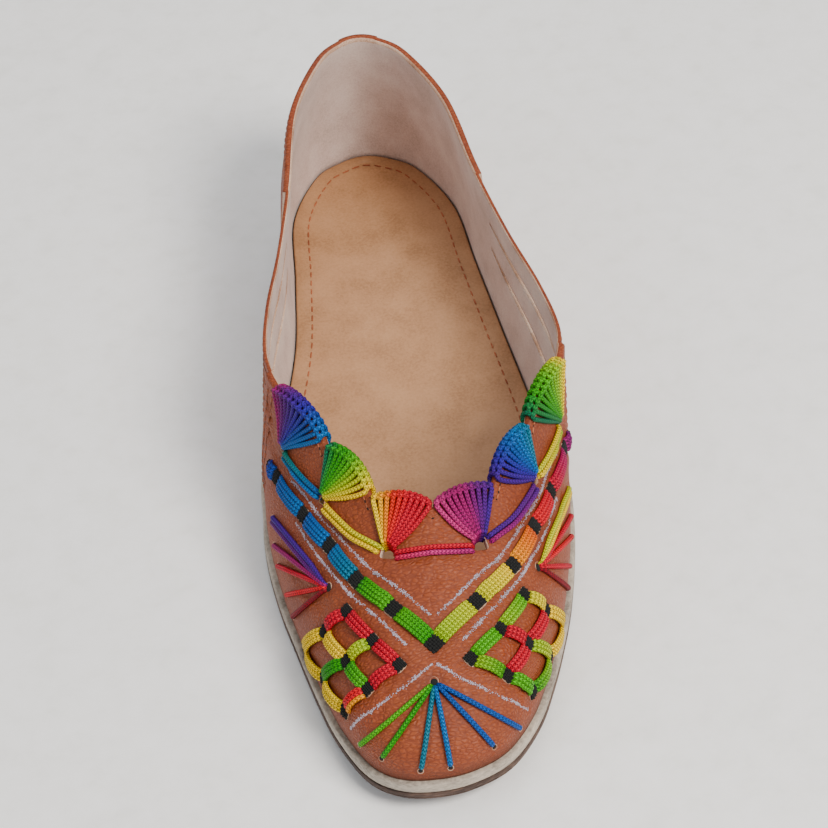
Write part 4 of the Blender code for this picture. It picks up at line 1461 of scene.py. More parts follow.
@dataclass
class Upper:
    """The leather upper with its lining, made as one wall: vamp and wings, three strips a side, counter."""

    last: Last
    relief: Relief
    materials: Materials
    pitch: float = 1.05 * MM
    outer_rows: int = 62
    inner_rows: int = 22
    rim_rows: int = 6
    tape_from: float = 16.15
    tape: float = 0.45 * MM
    gap: float = 0.008
    beside: float = 0.03
    corners: int = 28

    def columns(self) -> np.ndarray:
        """Folds of the mesh all the way round, with pairs close together where the leather steps.

        Returns:
            The folds, from the heel round the inner side to the heel again.
        """
        last, gap = self.last, self.gap
        marks = [0.0, 4.0, 6.5, 9.0, last.wing_end - gap, last.wing_end + gap, last.counter_from - gap]
        marks += [last.counter_from + gap, self.tape_from - gap, self.tape_from + gap, float(last.heel_fold)]
        half = [np.array([0.0])]
        for a, b in zip(marks, marks[1:]):
            half.append(last.even_folds(a, b, self.pitch)[1:])
        half = np.concatenate(half)
        return np.concatenate([-half[::-1][:-1], half[:-1]])

    def step(self, u: np.ndarray) -> np.ndarray:
        """How far the outer face lies under the form: the strips are thinner, the heel's tape lies on top.

        Args:
            u: folds.

        Returns:
            Depths in metres, negative where it stands out.
        """
        last, s, gap = self.last, np.abs(u), self.gap
        thin = ease((s - last.wing_end + gap) / (2 * gap)) * ease((last.counter_from + gap - s) / (2 * gap))
        tape = ease((s - self.tape_from + gap) / (2 * gap))
        return (last.wall - last.strip_wall) * thin - self.tape * tape

    def build(self) -> Piece:
        """Builds the wall, cuts its holes and slits, and dresses it.

        Returns:
            The finished object.
        """
        last = self.last
        around = self.columns()
        n = len(around)
        girths = np.array([last.girth(u) for u in around])
        tops = np.array([last.rim_share(u) for u in around])
        step = self.step(around)
        half_wall = 0.5 * (last.wall - step)
        shares = np.linspace(0, 1, self.outer_rows) ** 0.97
        uu = np.repeat(around[:, None], self.outer_rows, 1)
        tt = shares[None, :] * (tops - half_wall / girths)[:, None]
        plain, out = last.skin(uu, tt), last.normal(uu, tt)
        outer = plain + out * (self.relief(uu, tt, plain) - step[:, None])[..., None]
        along = unit(outer[:, -1] - outer[:, -2])
        rim = []
        centre = outer[:, -1] - out[:, -1] * half_wall[:, None]
        for k in range(1, self.rim_rows):
            a = math.pi * k / self.rim_rows
            rim.append(centre + (out[:, -1] * math.cos(a) + along * math.sin(a)) * half_wall[:, None])
        down = np.linspace(1, 0, self.inner_rows)
        ui = np.repeat(around[:, None], self.inner_rows, 1)
        ti = down[None, :] * tt[:, -1:]
        q = last.normal(ui, ti)
        flat = q * np.array([1, 1, 0.0])
        w = ease(1 - ti / 0.14)[..., None]
        lean = unit(q * (1 - w) + unit(flat) * w)
        inner = last.skin(ui, ti) - lean * last.wall
        inner[:, 0] = outer[:, -1] - out[:, -1] * 2 * half_wall[:, None]
        grid = np.concatenate([outer, np.stack(rim, 1), inner], 1)
        rows = grid.shape[1]
        points = grid.reshape(-1, 3)
        faces, picks = [], []
        seam_at = self.outer_rows + self.rim_rows - 1
        for a in range(n):
            c = (a + 1) % n
            pair = np.abs(around[[a, c]])
            edge = any(np.all(np.abs(pair - end) < self.beside) for end in (last.wing_end, last.counter_from))
            for b in range(rows):
                d = (b + 1) % rows
                faces.append((a * rows + b, c * rows + b, c * rows + d, a * rows + d))
                if b == rows - 1 or (edge and b < self.outer_rows - 1):
                    picks.append(Dress.CUT)
                elif b < self.outer_rows + 3:
                    picks.append(Dress.LEATHER)
                else:
                    picks.append(Dress.CUT if b < seam_at else Dress.LINING)
        dressing = [self.materials.leather, self.materials.lining, self.materials.cut]
        shell = plain_mesh("leather_upper", points, faces, dressing, picks)
        self.cut(shell)
        self.wear(shell)
        return settle(shell, ("upper",))

    def cut(self, shell: Piece) -> None:
        """Cuts the fan holes and the slits between the strips with one Boolean.

        Args:
            shell: the wall.
        """
        points, faces = [], []
        for fan in FANS:
            for sign in (-1, 1):
                self.prism(points, faces, sign * fan.hole[0], fan.hole[1], fan.size)
        for low, high in self.last.slits:
            for sign in (-1, 1):
                self.slot(points, faces, sign, low, high)
        picks = [Dress.CUT] * len(faces)
        dressing = [self.materials.leather, self.materials.lining, self.materials.cut]
        cutter = plain_mesh("cutter", np.array(points), faces, dressing, picks)
        bore = shell.modifiers.new("holes", "BOOLEAN")
        bore.operation, bore.solver, bore.object = "DIFFERENCE", "EXACT", cutter
        bore.material_mode = "INDEX"
        graph = bpy.context.evaluated_depsgraph_get()
        made = bpy.data.meshes.new_from_object(shell.evaluated_get(graph), depsgraph=graph)
        shell.modifiers.clear()
        shell.data = made
        bpy.data.objects.remove(cutter, do_unlink=True)

    def prism(self, points: list, faces: list, u: float, t: float, size: float) -> None:
        """Adds the cutter of a fan's hole: four rounded corners, narrower towards the opening.

        Args:
            points: the cutter's points so far.
            faces: its faces so far.
            u: the hole's fold.
            t: the hole's share.
            size: its size against the front hole's.
        """
        last = self.last
        centre, out = last.skin(u, t), last.normal(u, t)
        up = last.skin(u, t + 0.02) - centre
        up = laid_flat(up, out)
        across = np.cross(up, out)
        ring = []
        for k in range(self.corners):
            a = 2 * math.pi * k / self.corners
            x = math.copysign(abs(math.cos(a)) ** 0.45, math.cos(a))
            y = math.copysign(abs(math.sin(a)) ** 0.45, math.sin(a))
            ring.append((x * (2.0 - 0.2 * y), y * 1.95 - 0.45))
        rings = []
        for depth in (-2.2, 1.2):
            middle = centre + out * depth * last.wall
            rings.append([middle + (across * x + up * y) * size * MM for x, y in ring])
        self.tube(points, faces, rings)

    def slot(self, points: list, faces: list, sign: int, low: float, high: float) -> None:
        """Adds the cutter of a slit, pointed at both ends.

        Args:
            points: the cutter's points so far.
            faces: its faces so far.
            sign: -1 on the inner side.
            low: share of the slit's lower side.
            high: share of its upper side.
        """
        last = self.last
        us = np.linspace(*last.slit_folds, self.corners)
        mid, half = 0.5 * (low + high), 0.5 * (high - low)
        swell = np.sin(np.pi * np.linspace(0.02, 0.98, self.corners)) ** 0.4
        upper = [(sign * u, mid + half * s) for u, s in zip(us, swell)]
        lower = [(sign * u, mid - half * s) for u, s in zip(us, swell)]
        loop = upper + lower[::-1]
        rings = []
        for d in (-1.9, 0.9):
            rings.append([last.skin(u, t) + last.normal(u, t) * d * last.wall for u, t in loop])
        self.tube(points, faces, rings)

    @staticmethod
    def tube(points: list, faces: list, rings: list) -> None:
        """Adds a closed tube between two rings to a mesh, its faces turned outwards.

        Args:
            points: the mesh's points so far.
            faces: its faces so far.
            rings: two rings of points.
        """
        base, count = len(points), len(rings[0])
        ring = np.array(rings[0])
        area = sum(np.cross(ring[i] - ring[0], ring[(i + 1) % count] - ring[0]) for i in range(count))
        turned = float(area @ (np.array(rings[1][0]) - ring[0])) < 0
        for r in rings:
            points += list(r)
        fresh = [tuple(range(base + count - 1, base - 1, -1)), tuple(range(base + count, base + 2 * count))]
        for i in range(count):
            j = (i + 1) % count
            fresh.append((base + i, base + j, base + count + j, base + count + i))
        faces += [f[::-1] for f in fresh] if turned else fresh

    def wear(self, shell: Piece) -> None:
        """Paints shade on the leather near the sole and round what was pulled through it, as an attribute.

        Args:
            shell: the wall.
        """
        last = self.last
        co = np.zeros(len(shell.data.vertices) * 3)
        shell.data.vertices.foreach_get("co", co)
        co = co.reshape(-1, 3)
        above = co[:, 2] - last.bed(co[:, 1] + last.origin[1])
        # painted shade, darkest where the leather meets the sole
        shade_amount = 0.75 * np.exp(-((above / (3.5 * MM)) ** 2))
        # painted shade round the holes, the band, the lattices and the sprays' holes
        spots = [(s * f.hole[0], f.hole[1], 3.0) for f in FANS for s in (-1, 1)]
        spots += [(s * u, t, 3.2) for u, t in BAND for s in (-1, 1)]
        spots += [(s * u, t, 2.8) for row in LATTICE for u, t in row for s in (-1, 1)]
        spots += [(s * SIDE_ORIGIN[0], SIDE_ORIGIN[1], 2.5) for s in (-1, 1)] + [(*TOE_ORIGIN, 2.5)]
        for u, t, width in spots:
            d = np.linalg.norm(co - last.skin(u, t), axis=1) / (width * MM)
            shade_amount = np.maximum(shade_amount, 0.55 * np.exp(-(d**2)))
        layer = shell.data.attributes.new("wear", "FLOAT", "POINT")
        layer.data.foreach_set("value", shade_amount)


@dataclass
class Sole:
    """The sole's three layers: outsole with a tread, midsole rim and the sock inside."""

    last: Last
    materials: Materials
    repeats: Repeats
    patterns: Patterns
    pitch: float = 1.7 * MM
    across: int = 10
    border: float = 3.2 * MM
    recess: float = 0.7 * MM
    rib_pitch: float = 6.0 * MM
    rib_bends: tuple[float, ...] = (0.35, 0.0, -0.35)

    def folds(self) -> np.ndarray:
        """Folds spaced evenly round the sole's edge, two close together at the heel's breast.

        Returns:
            The folds, from toe to heel.
        """
        last = self.last
        u = np.linspace(0, last.heel_fold, 2001)
        x, y, _, _ = last.feather(u)
        gone = np.concatenate([[0], np.cumsum(np.hypot(np.diff(x), np.diff(y)))])
        even = np.interp(np.linspace(0, gone[-1], int(gone[-1] / self.pitch)), gone, u)
        breast = float(np.interp(last.heel_breast, last.column(0, u), u))
        keep = even[np.abs(even - breast) > 0.05]
        return np.sort(np.concatenate([keep, [breast - 0.02, breast + 0.02]]))

    def outline(self, folds: np.ndarray, grow: float) -> tuple[np.ndarray, np.ndarray]:
        """Inner and outer side of the sole's edge, grown outward in plan.

        Args:
            folds: fold numbers, zero or more.
            grow: how far it is grown.

        Returns:
            Rows of x and y for each side.
        """
        sides = []
        for sign in (-1, 1):
            x, y, ox, oy = self.last.feather(np.where(folds == 0, sign * 1e-6, sign * folds))
            sides.append(np.stack([x + ox * grow, y + oy * grow], -1))
        inner, outer = sides
        for end in (0, -1):
            outer[end] = inner[end] = 0.5 * (inner[end] + outer[end])
        return inner, outer

    def plate(self, name: str, levels: list, material: Material, dome: float = 0.0) -> Piece:
        """A layer of the sole.

        Args:
            name: the piece's name.
            levels: pairs of growth and height function, bottom to top.
            material: the layer's material.
            dome: how far the middle of the top sinks below its edge.

        Returns:
            The object, not yet handed to the frame.
        """
        folds = self.folds()
        points, faces, rings = [], [], []
        count = len(folds)
        for grow, height in levels:
            inner, outer = self.outline(folds, grow)
            ring = []
            for p in list(inner) + list(outer[-2:0:-1]):
                ring.append(len(points))
                points.append((p[0], p[1], float(height(p[1]))))
            rings.append(ring)
        size = len(rings[0])
        for low, high in zip(rings, rings[1:]):
            for i in range(size):
                j = (i + 1) % size
                faces.append((low[i], high[i], high[j], low[j]))
        for ring, (grow, height), top in ((rings[0], levels[0], False), (rings[-1], levels[-1], True)):
            inner, outer = self.outline(folds, grow)
            grid = [[ring[0]] * (self.across + 1)]
            for k in range(1, count - 1):
                row = [ring[k]]
                for a in range(1, self.across):
                    share = a / self.across
                    p = inner[k] + (outer[k] - inner[k]) * share
                    sink = dome * 4 * share * (1 - share) * (1 if top else 0)
                    row.append(len(points))
                    points.append((p[0], p[1], float(height(p[1])) - sink))
                row.append(ring[size - k])
                grid.append(row)
            grid.append([ring[count - 1]] * (self.across + 1))
            for one, two in zip(grid, grid[1:]):
                for a in range(self.across):
                    face = []
                    for v in (one[a], one[a + 1], two[a + 1], two[a]):
                        if v not in face:
                            face.append(v)
                    faces.append(tuple(face) if top else tuple(reversed(face)))
        shifted = np.array(points) - self.last.origin
        return plain_mesh(name, shifted, faces, [material])

    def over(self, below: float) -> Callable:
        """Height function: so far below the midsole's top."""
        return lambda y: float(self.last.bed(y)) - below

    def build(self) -> None:
        """Builds the three layers and the tread."""
        last, rim = self.last, self.last.rim
        deep = last.midsole + last.joint

        def tread(more: float = 0.0) -> Callable:
            """Height function over the underside."""
            return lambda y: last.tread(y) + more

        def part(share: float) -> Callable:
            """Height function a share of the way up the outsole's side."""
            return lambda y: last.tread(y) + share * (float(last.bed(y)) - deep - last.tread(y))

        outsole = self.plate(
            "sole_board",
            [
                (-self.border - 0.5 * MM, tread(self.recess)), (-self.border, tread(self.recess)),
                (-self.border + 0.15 * MM, tread()), (rim - 1.1 * MM, tread()),
                (rim - 0.45 * MM, tread(0.12 * MM)),
                (rim - 0.05 * MM, tread(0.55 * MM)), (rim + 0.1 * MM, part(0.4)),
                (rim - 0.08 * MM, part(0.47)),
                (rim + 0.08 * MM, part(0.54)), (rim + 0.02 * MM, part(0.8)), (rim - 0.12 * MM, part(0.97)),
                (rim - 0.5 * MM, part(1.0)), (rim - 1.5 * MM, part(1.0)),
            ],
            self.materials.sole,
        )
        settle(outsole, ("outsole",))
        height = last.midsole
        crepe = self.plate(
            "crepe_midsole",
            [
                (rim - 2.0 * MM, self.over(height)), (rim - 0.7 * MM, self.over(height)),
                (rim - 0.25 * MM, self.over(height - 0.15 * MM)),
                (rim - 0.02 * MM, self.over(height - 0.5 * MM)),
                (rim + 0.16 * MM, self.over(0.55 * height)), (rim + 0.05 * MM, self.over(0.25 * height)),
                (rim - 0.15 * MM, self.over(0.3 * MM)), (rim - 0.45 * MM, self.over(0.06 * MM)),
                (rim - 1.0 * MM, self.over(0.0)), (-1.0 * MM, self.over(0.0)),
            ],
            self.materials.crepe,
        )
        settle(crepe, ("midsole",))
        inset, top = last.wall + 0.3 * MM, last.joint + last.insole
        sock = self.plate(
            "sock",
            [
                (-inset, self.over(-last.joint)), (-inset, self.over(-top + 0.5 * MM)),
                (-inset - 0.15 * MM, self.over(-top + 0.15 * MM)), (-inset - 0.6 * MM, self.over(-top)),
                (-inset - 3.0 * MM, self.over(-top + 0.12 * MM)),
            ],
            self.materials.sock,
            dome=0.25 * MM,
        )
        settle(sock, ("insole",))
        self.ribs()
        self.sock_seam()

    def ribs(self) -> None:
        """Cross ribs of the tread, under the forefoot and the heel."""
        last, sites = self.last, []
        folds = np.linspace(0.5, last.heel_fold - 0.3, 900)
        inner, outer = self.outline(folds, -self.border - 1.6 * MM)
        for y in np.arange(0.035, 0.965, self.rib_pitch / last.length) * last.length:
            share = y / last.length
            if 0.47 < share < last.heel_breast + 0.01:
                continue
            x0, x1 = np.interp(y, inner[:, 1], inner[:, 0]), np.interp(y, outer[:, 1], outer[:, 0])
            width = (x1 - x0) / len(self.rib_bends)
            for k, bent in enumerate(self.rib_bends):
                x = x0 + (k + 0.5) * width
                slope = (last.tread(y + MM) - last.tread(y - MM)) / (2 * MM) if share < 0.45 else 0.0
                out = unit(np.array([0.0, -slope, 1.0]))
                z = last.tread(y) + self.recess + 0.05 * MM
                place = np.array([x, y, z]) - last.origin
                head = laid_flat(np.array([1.0, bent, 0.0]), out)
                sites.append((place, out, head, (width * 0.9, 2.6 * MM, self.recess)))
        self.repeats.make("tread_ribs", self.patterns.rib, sites, self.materials.sole, "outsole")

    def sock_seam(self) -> None:
        """Stitches round the edge of the sock."""
        last, sites = self.last, []
        folds = np.linspace(0, last.heel_fold, 1200)
        inner, outer = self.outline(folds, -last.wall - 5.0 * MM)
        loop = np.concatenate([inner, outer[::-1]])
        gone = distances(loop)
        for where in np.arange(0, gone[-1], 3.6 * MM):
            p, q = (np.array([np.interp(w, gone, loop[:, i]) for i in (0, 1)]) for w in (where, where + MM))
            z = float(last.bed(p[1])) + last.joint + last.insole - 0.08 * MM
            head = unit(np.array([*(q - p), 0.0]))
            sites.append((np.array([*p, z]) - last.origin, (0, 0, 1), head, (2.5 * MM, 0.5 * MM, 0.45 * MM)))
        self.repeats.make("sock_stitches", self.patterns.pill, sites, self.materials.seam, "insole", 0.05)


# What is sewn to the leather.


@dataclass
class FanWork:
    """Fans of cord wrapped over the scalloped edge, each from one hole, with a knotted ridge along it."""

    last: Last
    maker: CordMaker
    thickness: float = 1.38 * MM
    narrow: float = 0.74
    spread: float = 1.95 * MM
    # in mm: how far below the hole's top and how deep each point inside the hole lies
    inside_hole: tuple = ((1.3, -2.9), (0.8, -1.6), (0.45, -0.35))
    # how far down the lining in mm and how far off it in half thicknesses
    behind_edge: tuple = ((1.5, 1.0), (3.0, 0.95), (4.0, 0.2), (4.4, -1.0))
    # tilt, distance in half thicknesses, phase and thickness of the ridge's two strands
    strands: tuple = ((0.50, 1.25, 0.0, 1.02), (1.25, 1.20, 0.5, 0.86))

    def cord(self, fan: Fan, sign: int, s: float, share: float, high: bool, dye: str) -> CordRun:
        """One cord, out of the hole, up the leather and over the edge.

        Args:
            fan: the fan.
            sign: -1 on the inner side.
            s: fold at which it crosses the edge.
            share: its place at the hole, from -1 to 1.
            high: whether it lies on its neighbours at the hole.
            dye: its colour.

        Returns:
            The run.
        """
        last, r = self.last, 0.5 * self.thickness
        u, girth = sign * s, last.girth(sign * s)
        hole_u, hole_t = fan.hole
        folds = 1 / float(np.linalg.norm(last.skin(hole_u + 0.5, hole_t) - last.skin(hole_u - 0.5, hole_t)))
        u0 = sign * (hole_u + self.spread * fan.size * folds * share)
        hole_girth = last.girth(hole_u)
        t0 = hole_t + (1.9 - 0.75 * abs(share) ** 2) * MM * fan.size / hole_girth
        half = 0.5 * last.wall
        t1 = last.rim_share(s) - half / girth
        line, swell = [], []
        for drop, depth in self.inside_hole:
            t = t0 - drop * MM / hole_girth
            line.append(last.skin(u0, t) + last.normal(u0, t) * depth * MM)
            swell.append(self.narrow)
        steps = 12
        for k in range(steps + 1):
            f = k / steps
            uu, tt = u0 + (u - u0) * f, t0 + (t1 - t0) * f
            lift = r * (0.75 + 0.3 * ease(np.array(f / 0.3))) + (0.62 * r if high else 0.0) * (1 - f) ** 1.5
            line.append(last.skin(uu, tt) + last.normal(uu, tt) * lift)
            swell.append(self.narrow + (1 - self.narrow) * float(ease(np.array(f / 0.6))))
        edge, out = last.skin(u, t1), last.normal(u, t1)
        along = unit(edge - last.skin(u, t1 - 0.02))
        centre = edge - out * half
        for k in range(1, 7):
            a = math.pi * k / 6
            line.append(centre + (out * math.cos(a) + along * math.sin(a)) * (half + r * 1.05))
            swell.append(1.0)
        for down, depth in self.behind_edge:
            line.append(centre - out * (half + r * depth) - along * down * MM)
            swell.append(0.95)
        return self.maker.run(np.array(line), (dye,), np.array(swell))

    def ridge(self, fan: Fan, sign: int, places: list[float], dyes: tuple[str, ...]) -> list[CordRun]:
        """The knotted ridge along the edge: a cord that swells at each crossing, and one beside it.

        Args:
            fan: the fan.
            sign: -1 on the inner side.
            places: folds at which the cords cross the edge.
            dyes: colours from toe to heel.

        Returns:
            The two runs.
        """
        last, r, half = self.last, 0.5 * self.thickness, 0.5 * self.last.wall
        pitch = (places[-1] - places[0]) / (len(places) - 1)
        runs = []
        for tilt, out_by, phase, thick in self.strands:
            line, swell = [], []
            for s in np.linspace(places[0] - 0.35 * pitch, places[-1] + 0.35 * pitch, 8 * len(places)):
                beat = math.cos(math.pi * ((s - places[0]) / pitch + phase)) ** 2
                u = sign * s
                t = last.rim_share(s) - half / last.girth(u)
                edge, out = last.skin(u, t), last.normal(u, t)
                along = unit(edge - last.skin(u, t - 0.02))
                a = tilt + 0.16 * (beat - 0.5)
                far = half + r * (out_by + 0.35 * beat)
                line.append(edge - out * half + (out * math.cos(a) + along * math.sin(a)) * far)
                swell.append(thick * (0.66 + 0.40 * beat))
            runs.append(self.maker.run(np.array(line), dyes, np.array(swell)))
        return runs

    def build(self) -> None:
        """Builds the six fans."""
        for fan in FANS:
            for side, sign, dyes in (("inner", -1, fan.inner), ("outer", 1, fan.outer)):
                margin = 0.5 * (fan.end - fan.start) / fan.cords * 0.6
                places = list(np.linspace(fan.start + margin, fan.end - margin, fan.cords))
                # dyes run from the heel towards the toe
                runs = []
                for i, s in enumerate(places):
                    share = 2 * i / (fan.cords - 1) - 1
                    colour = blend_dyes(dyes, 1 - i / (fan.cords - 1))
                    run = self.cord(fan, sign, s, share, i % 2 == 1, dyes[0])
                    run.dye = np.repeat(colour[None], len(run.line), 0)
                    runs.append(run)
                runs += self.ridge(fan, sign, places, dyes[::-1])
                slot = "blue_cord" if sign < 0 else "red_cord"
                name = f"fan_{fan.name}_{side}"
                self.maker.make(f"{name}_cords", runs, self.thickness, slot, (name,))


@dataclass(frozen=True)
class Ribbon:
    """Cords laid flat, side by side: how many, how thick and how far apart, and how high they lie, arch
    between their ends, dip at the ends and at the two outer cords."""

    cords: int
    thickness: float
    pitch: float
    rest: float
    crest: float
    sunk: float
    edge_drop: float
    points: int


@dataclass
class Laid:
    """Cords that lie on the leather: links between holes, the band, the lattices and the sprays."""

    last: Last
    skin: Skin
    maker: CordMaker
    repeats: Repeats
    patterns: Patterns
    materials: Materials
    thickness: float = 1.38 * MM
    square: float = 3.8 * MM
    link_aside: float = 0.74 * MM
    block: Ribbon = Ribbon(4, 1.26 * MM, 1.09 * MM, 0.62 * MM, 0.42 * MM, -0.5 * MM, 0.26 * MM, 14)
    rung: Ribbon = Ribbon(3, 1.30 * MM, 1.16 * MM, 0.6 * MM, 0.75 * MM, -0.4 * MM, 0.12 * MM, 12)
    pair_pitch: float = 1.25 * MM
    into_hole: float = 1.5 * MM
    hole_clear: float = 2.2 * MM
    sunk: float = 1.2 * MM
    common_hole: float = 3.4 * MM
    pair_hole: float = 2.9 * MM
    end_hole: float = 2.35 * MM
    slack: float = 0.22 * MM
    squares: list = field(default_factory=list)
    lips: list = field(default_factory=list)
    # dark discs of painted shade in the holes
    hole_shades: list = field(default_factory=list)
    rings: list = field(default_factory=list)

    def side_by_side(
        self, line: np.ndarray, offset: float, heights: np.ndarray, dyes: tuple[str, ...], swell: object = 1.0
    ) -> CordRun:
        """A cord beside a line on the leather.

        Args:
            line: rows of points on the leather.
            offset: distance to one side.
            heights: height of the cord's middle over the leather at each point.
            dyes: its colours.
            swell: share of the thickness at each point.

        Returns:
            The run.
        """
        out = np.array([self.skin.drop(p)[1] for p in line])
        heading = unit(np.gradient(line, axis=0))
        across = unit(np.cross(out, heading))
        placed = []
        for p, a, h in zip(line, across, heights):
            place, up = self.skin.drop(p + a * offset)
            placed.append(place + up * h)
        return self.maker.run(np.array(placed), dyes, swell)

    def ribbon(self, kind: Ribbon, a: np.ndarray, b: np.ndarray, shares: Place, dyes: list) -> list[CordRun]:
        """The cords of a ribbon, out of the leather, over it in a low arch and back in.

        Args:
            kind: the ribbon's build.
            a: point from which it runs.
            b: point to which it runs.
            shares: where between them it starts and ends.
            dyes: the dyes of each cord.

        Returns:
            One run for each cord.
        """
        line = np.array([self.skin.drop(a + (b - a) * f)[0] for f in np.linspace(*shares, kind.points)])
        bow = np.sin(np.pi * np.linspace(0, 1, kind.points))
        heights = kind.sunk + (kind.rest - kind.sunk) * np.clip(bow / 0.42, 0, 1) ** 0.6 + kind.crest * bow
        runs = []
        for j, dye in enumerate(dyes):
            offset = (j - 0.5 * (kind.cords - 1)) * kind.pitch
            edge = -kind.edge_drop if j in (0, kind.cords - 1) else 0.0
            runs.append(self.side_by_side(line, offset, heights + edge, dye))
        return runs

    def links(self) -> None:
        """Double cords from each fan's hole to the next."""
        r = 0.5 * self.thickness
        jobs = []
        for side, sign in (("inner", -1), ("outer", 1)):
            rear = ((Dye.TEAL, Dye.AZURE, Dye.AZURE), (Dye.SEA, Dye.TEAL, Dye.BLUE))
            front = ((Dye.YELLOW, Dye.YELLOW), (Dye.YELLOW, Dye.ACID))
            if sign > 0:
                rear = ((Dye.YELLOW, Dye.ACID), (Dye.LIME, Dye.YELLOW))
                front = ((Dye.PLUM, Dye.PURPLE), (Dye.PURPLE, Dye.MAGENTA))
            jobs.append((f"link_rear_{side}", [(sign * u, t) for u, t in LINK_REAR], rear, "blue_cord"))
            jobs.append((f"link_front_{side}", [(sign * u, t) for u, t in LINK_FRONT], front, "yellow_cord"))
        u, t = LINK_MIDDLE
        middle = ((Dye.CRIMSON, Dye.PINK, Dye.MAGENTA), (Dye.CRIMSON, Dye.CRIMSON, Dye.CRIMSON))
        jobs.append(("link_middle", [(-u, t), (u, t)], middle, "red_cord"))
        for name, places, dyes, slot in jobs:
            line = self.skin.course(places, 0.5 * MM)
            for _ in range(40):
                line[1:-1] = 0.25 * line[:-2] + 0.5 * line[1:-1] + 0.25 * line[2:]
            # on into the holes at both ends
            first = line[0] + unit(line[0] - line[2]) * self.into_hole
            last = line[-1] + unit(line[-1] - line[-3]) * self.into_hole
            line = np.vstack([first, line, last])
            for fan in FANS:
                for sign in (-1, 1):
                    far = np.linalg.norm(line - self.last.skin(sign * fan.hole[0], fan.hole[1]), axis=1)
                    line = line[far > self.hole_clear * fan.size]
            gone = distances(line)
            near = np.minimum(gone, gone[-1] - gone)
            rise = ease(near / (1.1 * MM))
            heights = -self.sunk + (self.sunk + r) * rise + 0.15 * MM * ease(near / (8 * MM))
            runs = [
                self.side_by_side(line, x * self.link_aside, heights + (0.12 * MM if x > 0 else 0), dye)
                for x, dye in ((-1, dyes[0]), (1, dyes[1]))
            ]
            self.maker.make(f"{name}_cords", runs, self.thickness, slot, (name,))

    def band(self) -> None:
        """The woven V across the vamp: blocks of four cords between black squares."""
        inner = [(-u, t) for u, t in (BAND_END,) + BAND[:0:-1]]
        places = inner + [BAND[0]] + [(-u, t) for u, t in inner[::-1]]
        dyes = (
            (Dye.VIOLET, Dye.BLUE), (Dye.BLUE, Dye.AZURE), (Dye.BLUE, Dye.AZURE), (Dye.AZURE, Dye.TEAL),
            (Dye.GREEN, Dye.LEAF), (Dye.LEAF, Dye.GREEN), (Dye.LIME, Dye.ACID), (Dye.ACID, Dye.YELLOW),
            (Dye.AMBER, Dye.ORANGE), (Dye.RED, Dye.CRIMSON), (Dye.CRIMSON, Dye.MAGENTA),
            (Dye.MAGENTA, Dye.PLUM),
        )
        runs = []
        stops = [self.skin.drop(self.last.skin(u, t))[0] for u, t in places]
        for k, (a, b, dye) in enumerate(zip(stops, stops[1:], dyes)):
            trim = 0.42 * self.square / float(np.linalg.norm(b - a))
            shares = (trim if k else 0.0, 1 - trim if k < len(dyes) - 1 else 1.0)
            runs += self.ribbon(self.block, a, b, shares, [dye] * self.block.cords)
        self.maker.make("band_cords", runs, self.block.thickness, "green_cord", ("band",))
        for k in range(1, len(stops) - 1):
            spot, out = self.skin.drop(stops[k])
            heading = unit(stops[k] - stops[k - 1])
            size = self.square * (1.2 if k == len(stops) // 2 else 1.06)
            self.add_square(spot, out, heading, size)
        for end, near in ((0, 1), (-1, -2)):
            spot, out = self.skin.drop(stops[end])
            self.add_square(spot, out, unit(stops[end] - stops[near]), 0.8 * self.square)

    def add_square(self, spot: np.ndarray, out: np.ndarray, heading: np.ndarray, size: float) -> None:
        """Notes a black woven square and the pale lip of the slot that it fills.

        Args:
            spot: its middle on the leather.
            out: the leather's outward direction.
            heading: direction of one side.
            size: its side.
        """
        heading = laid_flat(heading, out)
        self.squares.append((spot + out * 0.42 * MM, out, heading, (size, size, 3.4 * MM)))
        # the slot's lower lip shows most
        aside = np.cross(out, heading)
        shift = -self.slack * 0.6 * aside if aside[2] > 0 else self.slack * 0.6 * aside
        lip, side = spot + out * 0.22 * MM + shift, size + 2 * self.slack
        self.lips.append((lip, out, heading, (side, side, 0.8 * MM)))

    def lattices(self) -> None:
        """Two lattices of nine black squares joined by ribbons of three cords."""
        inner = {
            "00-01": (Dye.YELLOW,), "01-02": (Dye.YELLOW,), "10-11": (Dye.LEAF, Dye.GREEN),
            "11-12": (Dye.YELLOW,), "20-21": (Dye.CRIMSON,), "21-22": (Dye.CRIMSON,),
            "00-10": (Dye.AMBER, Dye.RED), "10-20": (Dye.CRIMSON,), "01-11": (Dye.GREEN, Dye.GREEN),
            "11-21": (Dye.ACID, Dye.LIME), "02-12": (Dye.YELLOW,), "12-22": (Dye.CRIMSON,),
        }
        outer = {
            "00-01": (Dye.GREEN, Dye.LIME), "01-02": (Dye.YELLOW,), "10-11": (Dye.CRIMSON,),
            "11-12": (Dye.CRIMSON,), "20-21": (Dye.LEAF,), "21-22": (Dye.LIME, Dye.LEAF),
            "00-10": (Dye.LEAF,), "10-20": (Dye.GREEN, Dye.LIME), "01-11": (Dye.ACID, Dye.LIME),
            "11-21": (Dye.CRIMSON,), "02-12": (Dye.YELLOW,), "12-22": (Dye.YELLOW, Dye.ACID),
        }
        for side, sign, table in (("inner", -1, inner), ("outer", 1, outer)):
            nodes = {
                (i, j): self.skin.drop(self.last.skin(sign * u, t))[0]
                for i, row in enumerate(LATTICE)
                for j, (u, t) in enumerate(row)
            }
            runs = []
            for key, dyes in table.items():
                a, b = (nodes[int(code[0]), int(code[1])] for code in key.split("-"))
                trim = 0.36 * self.square / float(np.linalg.norm(b - a))
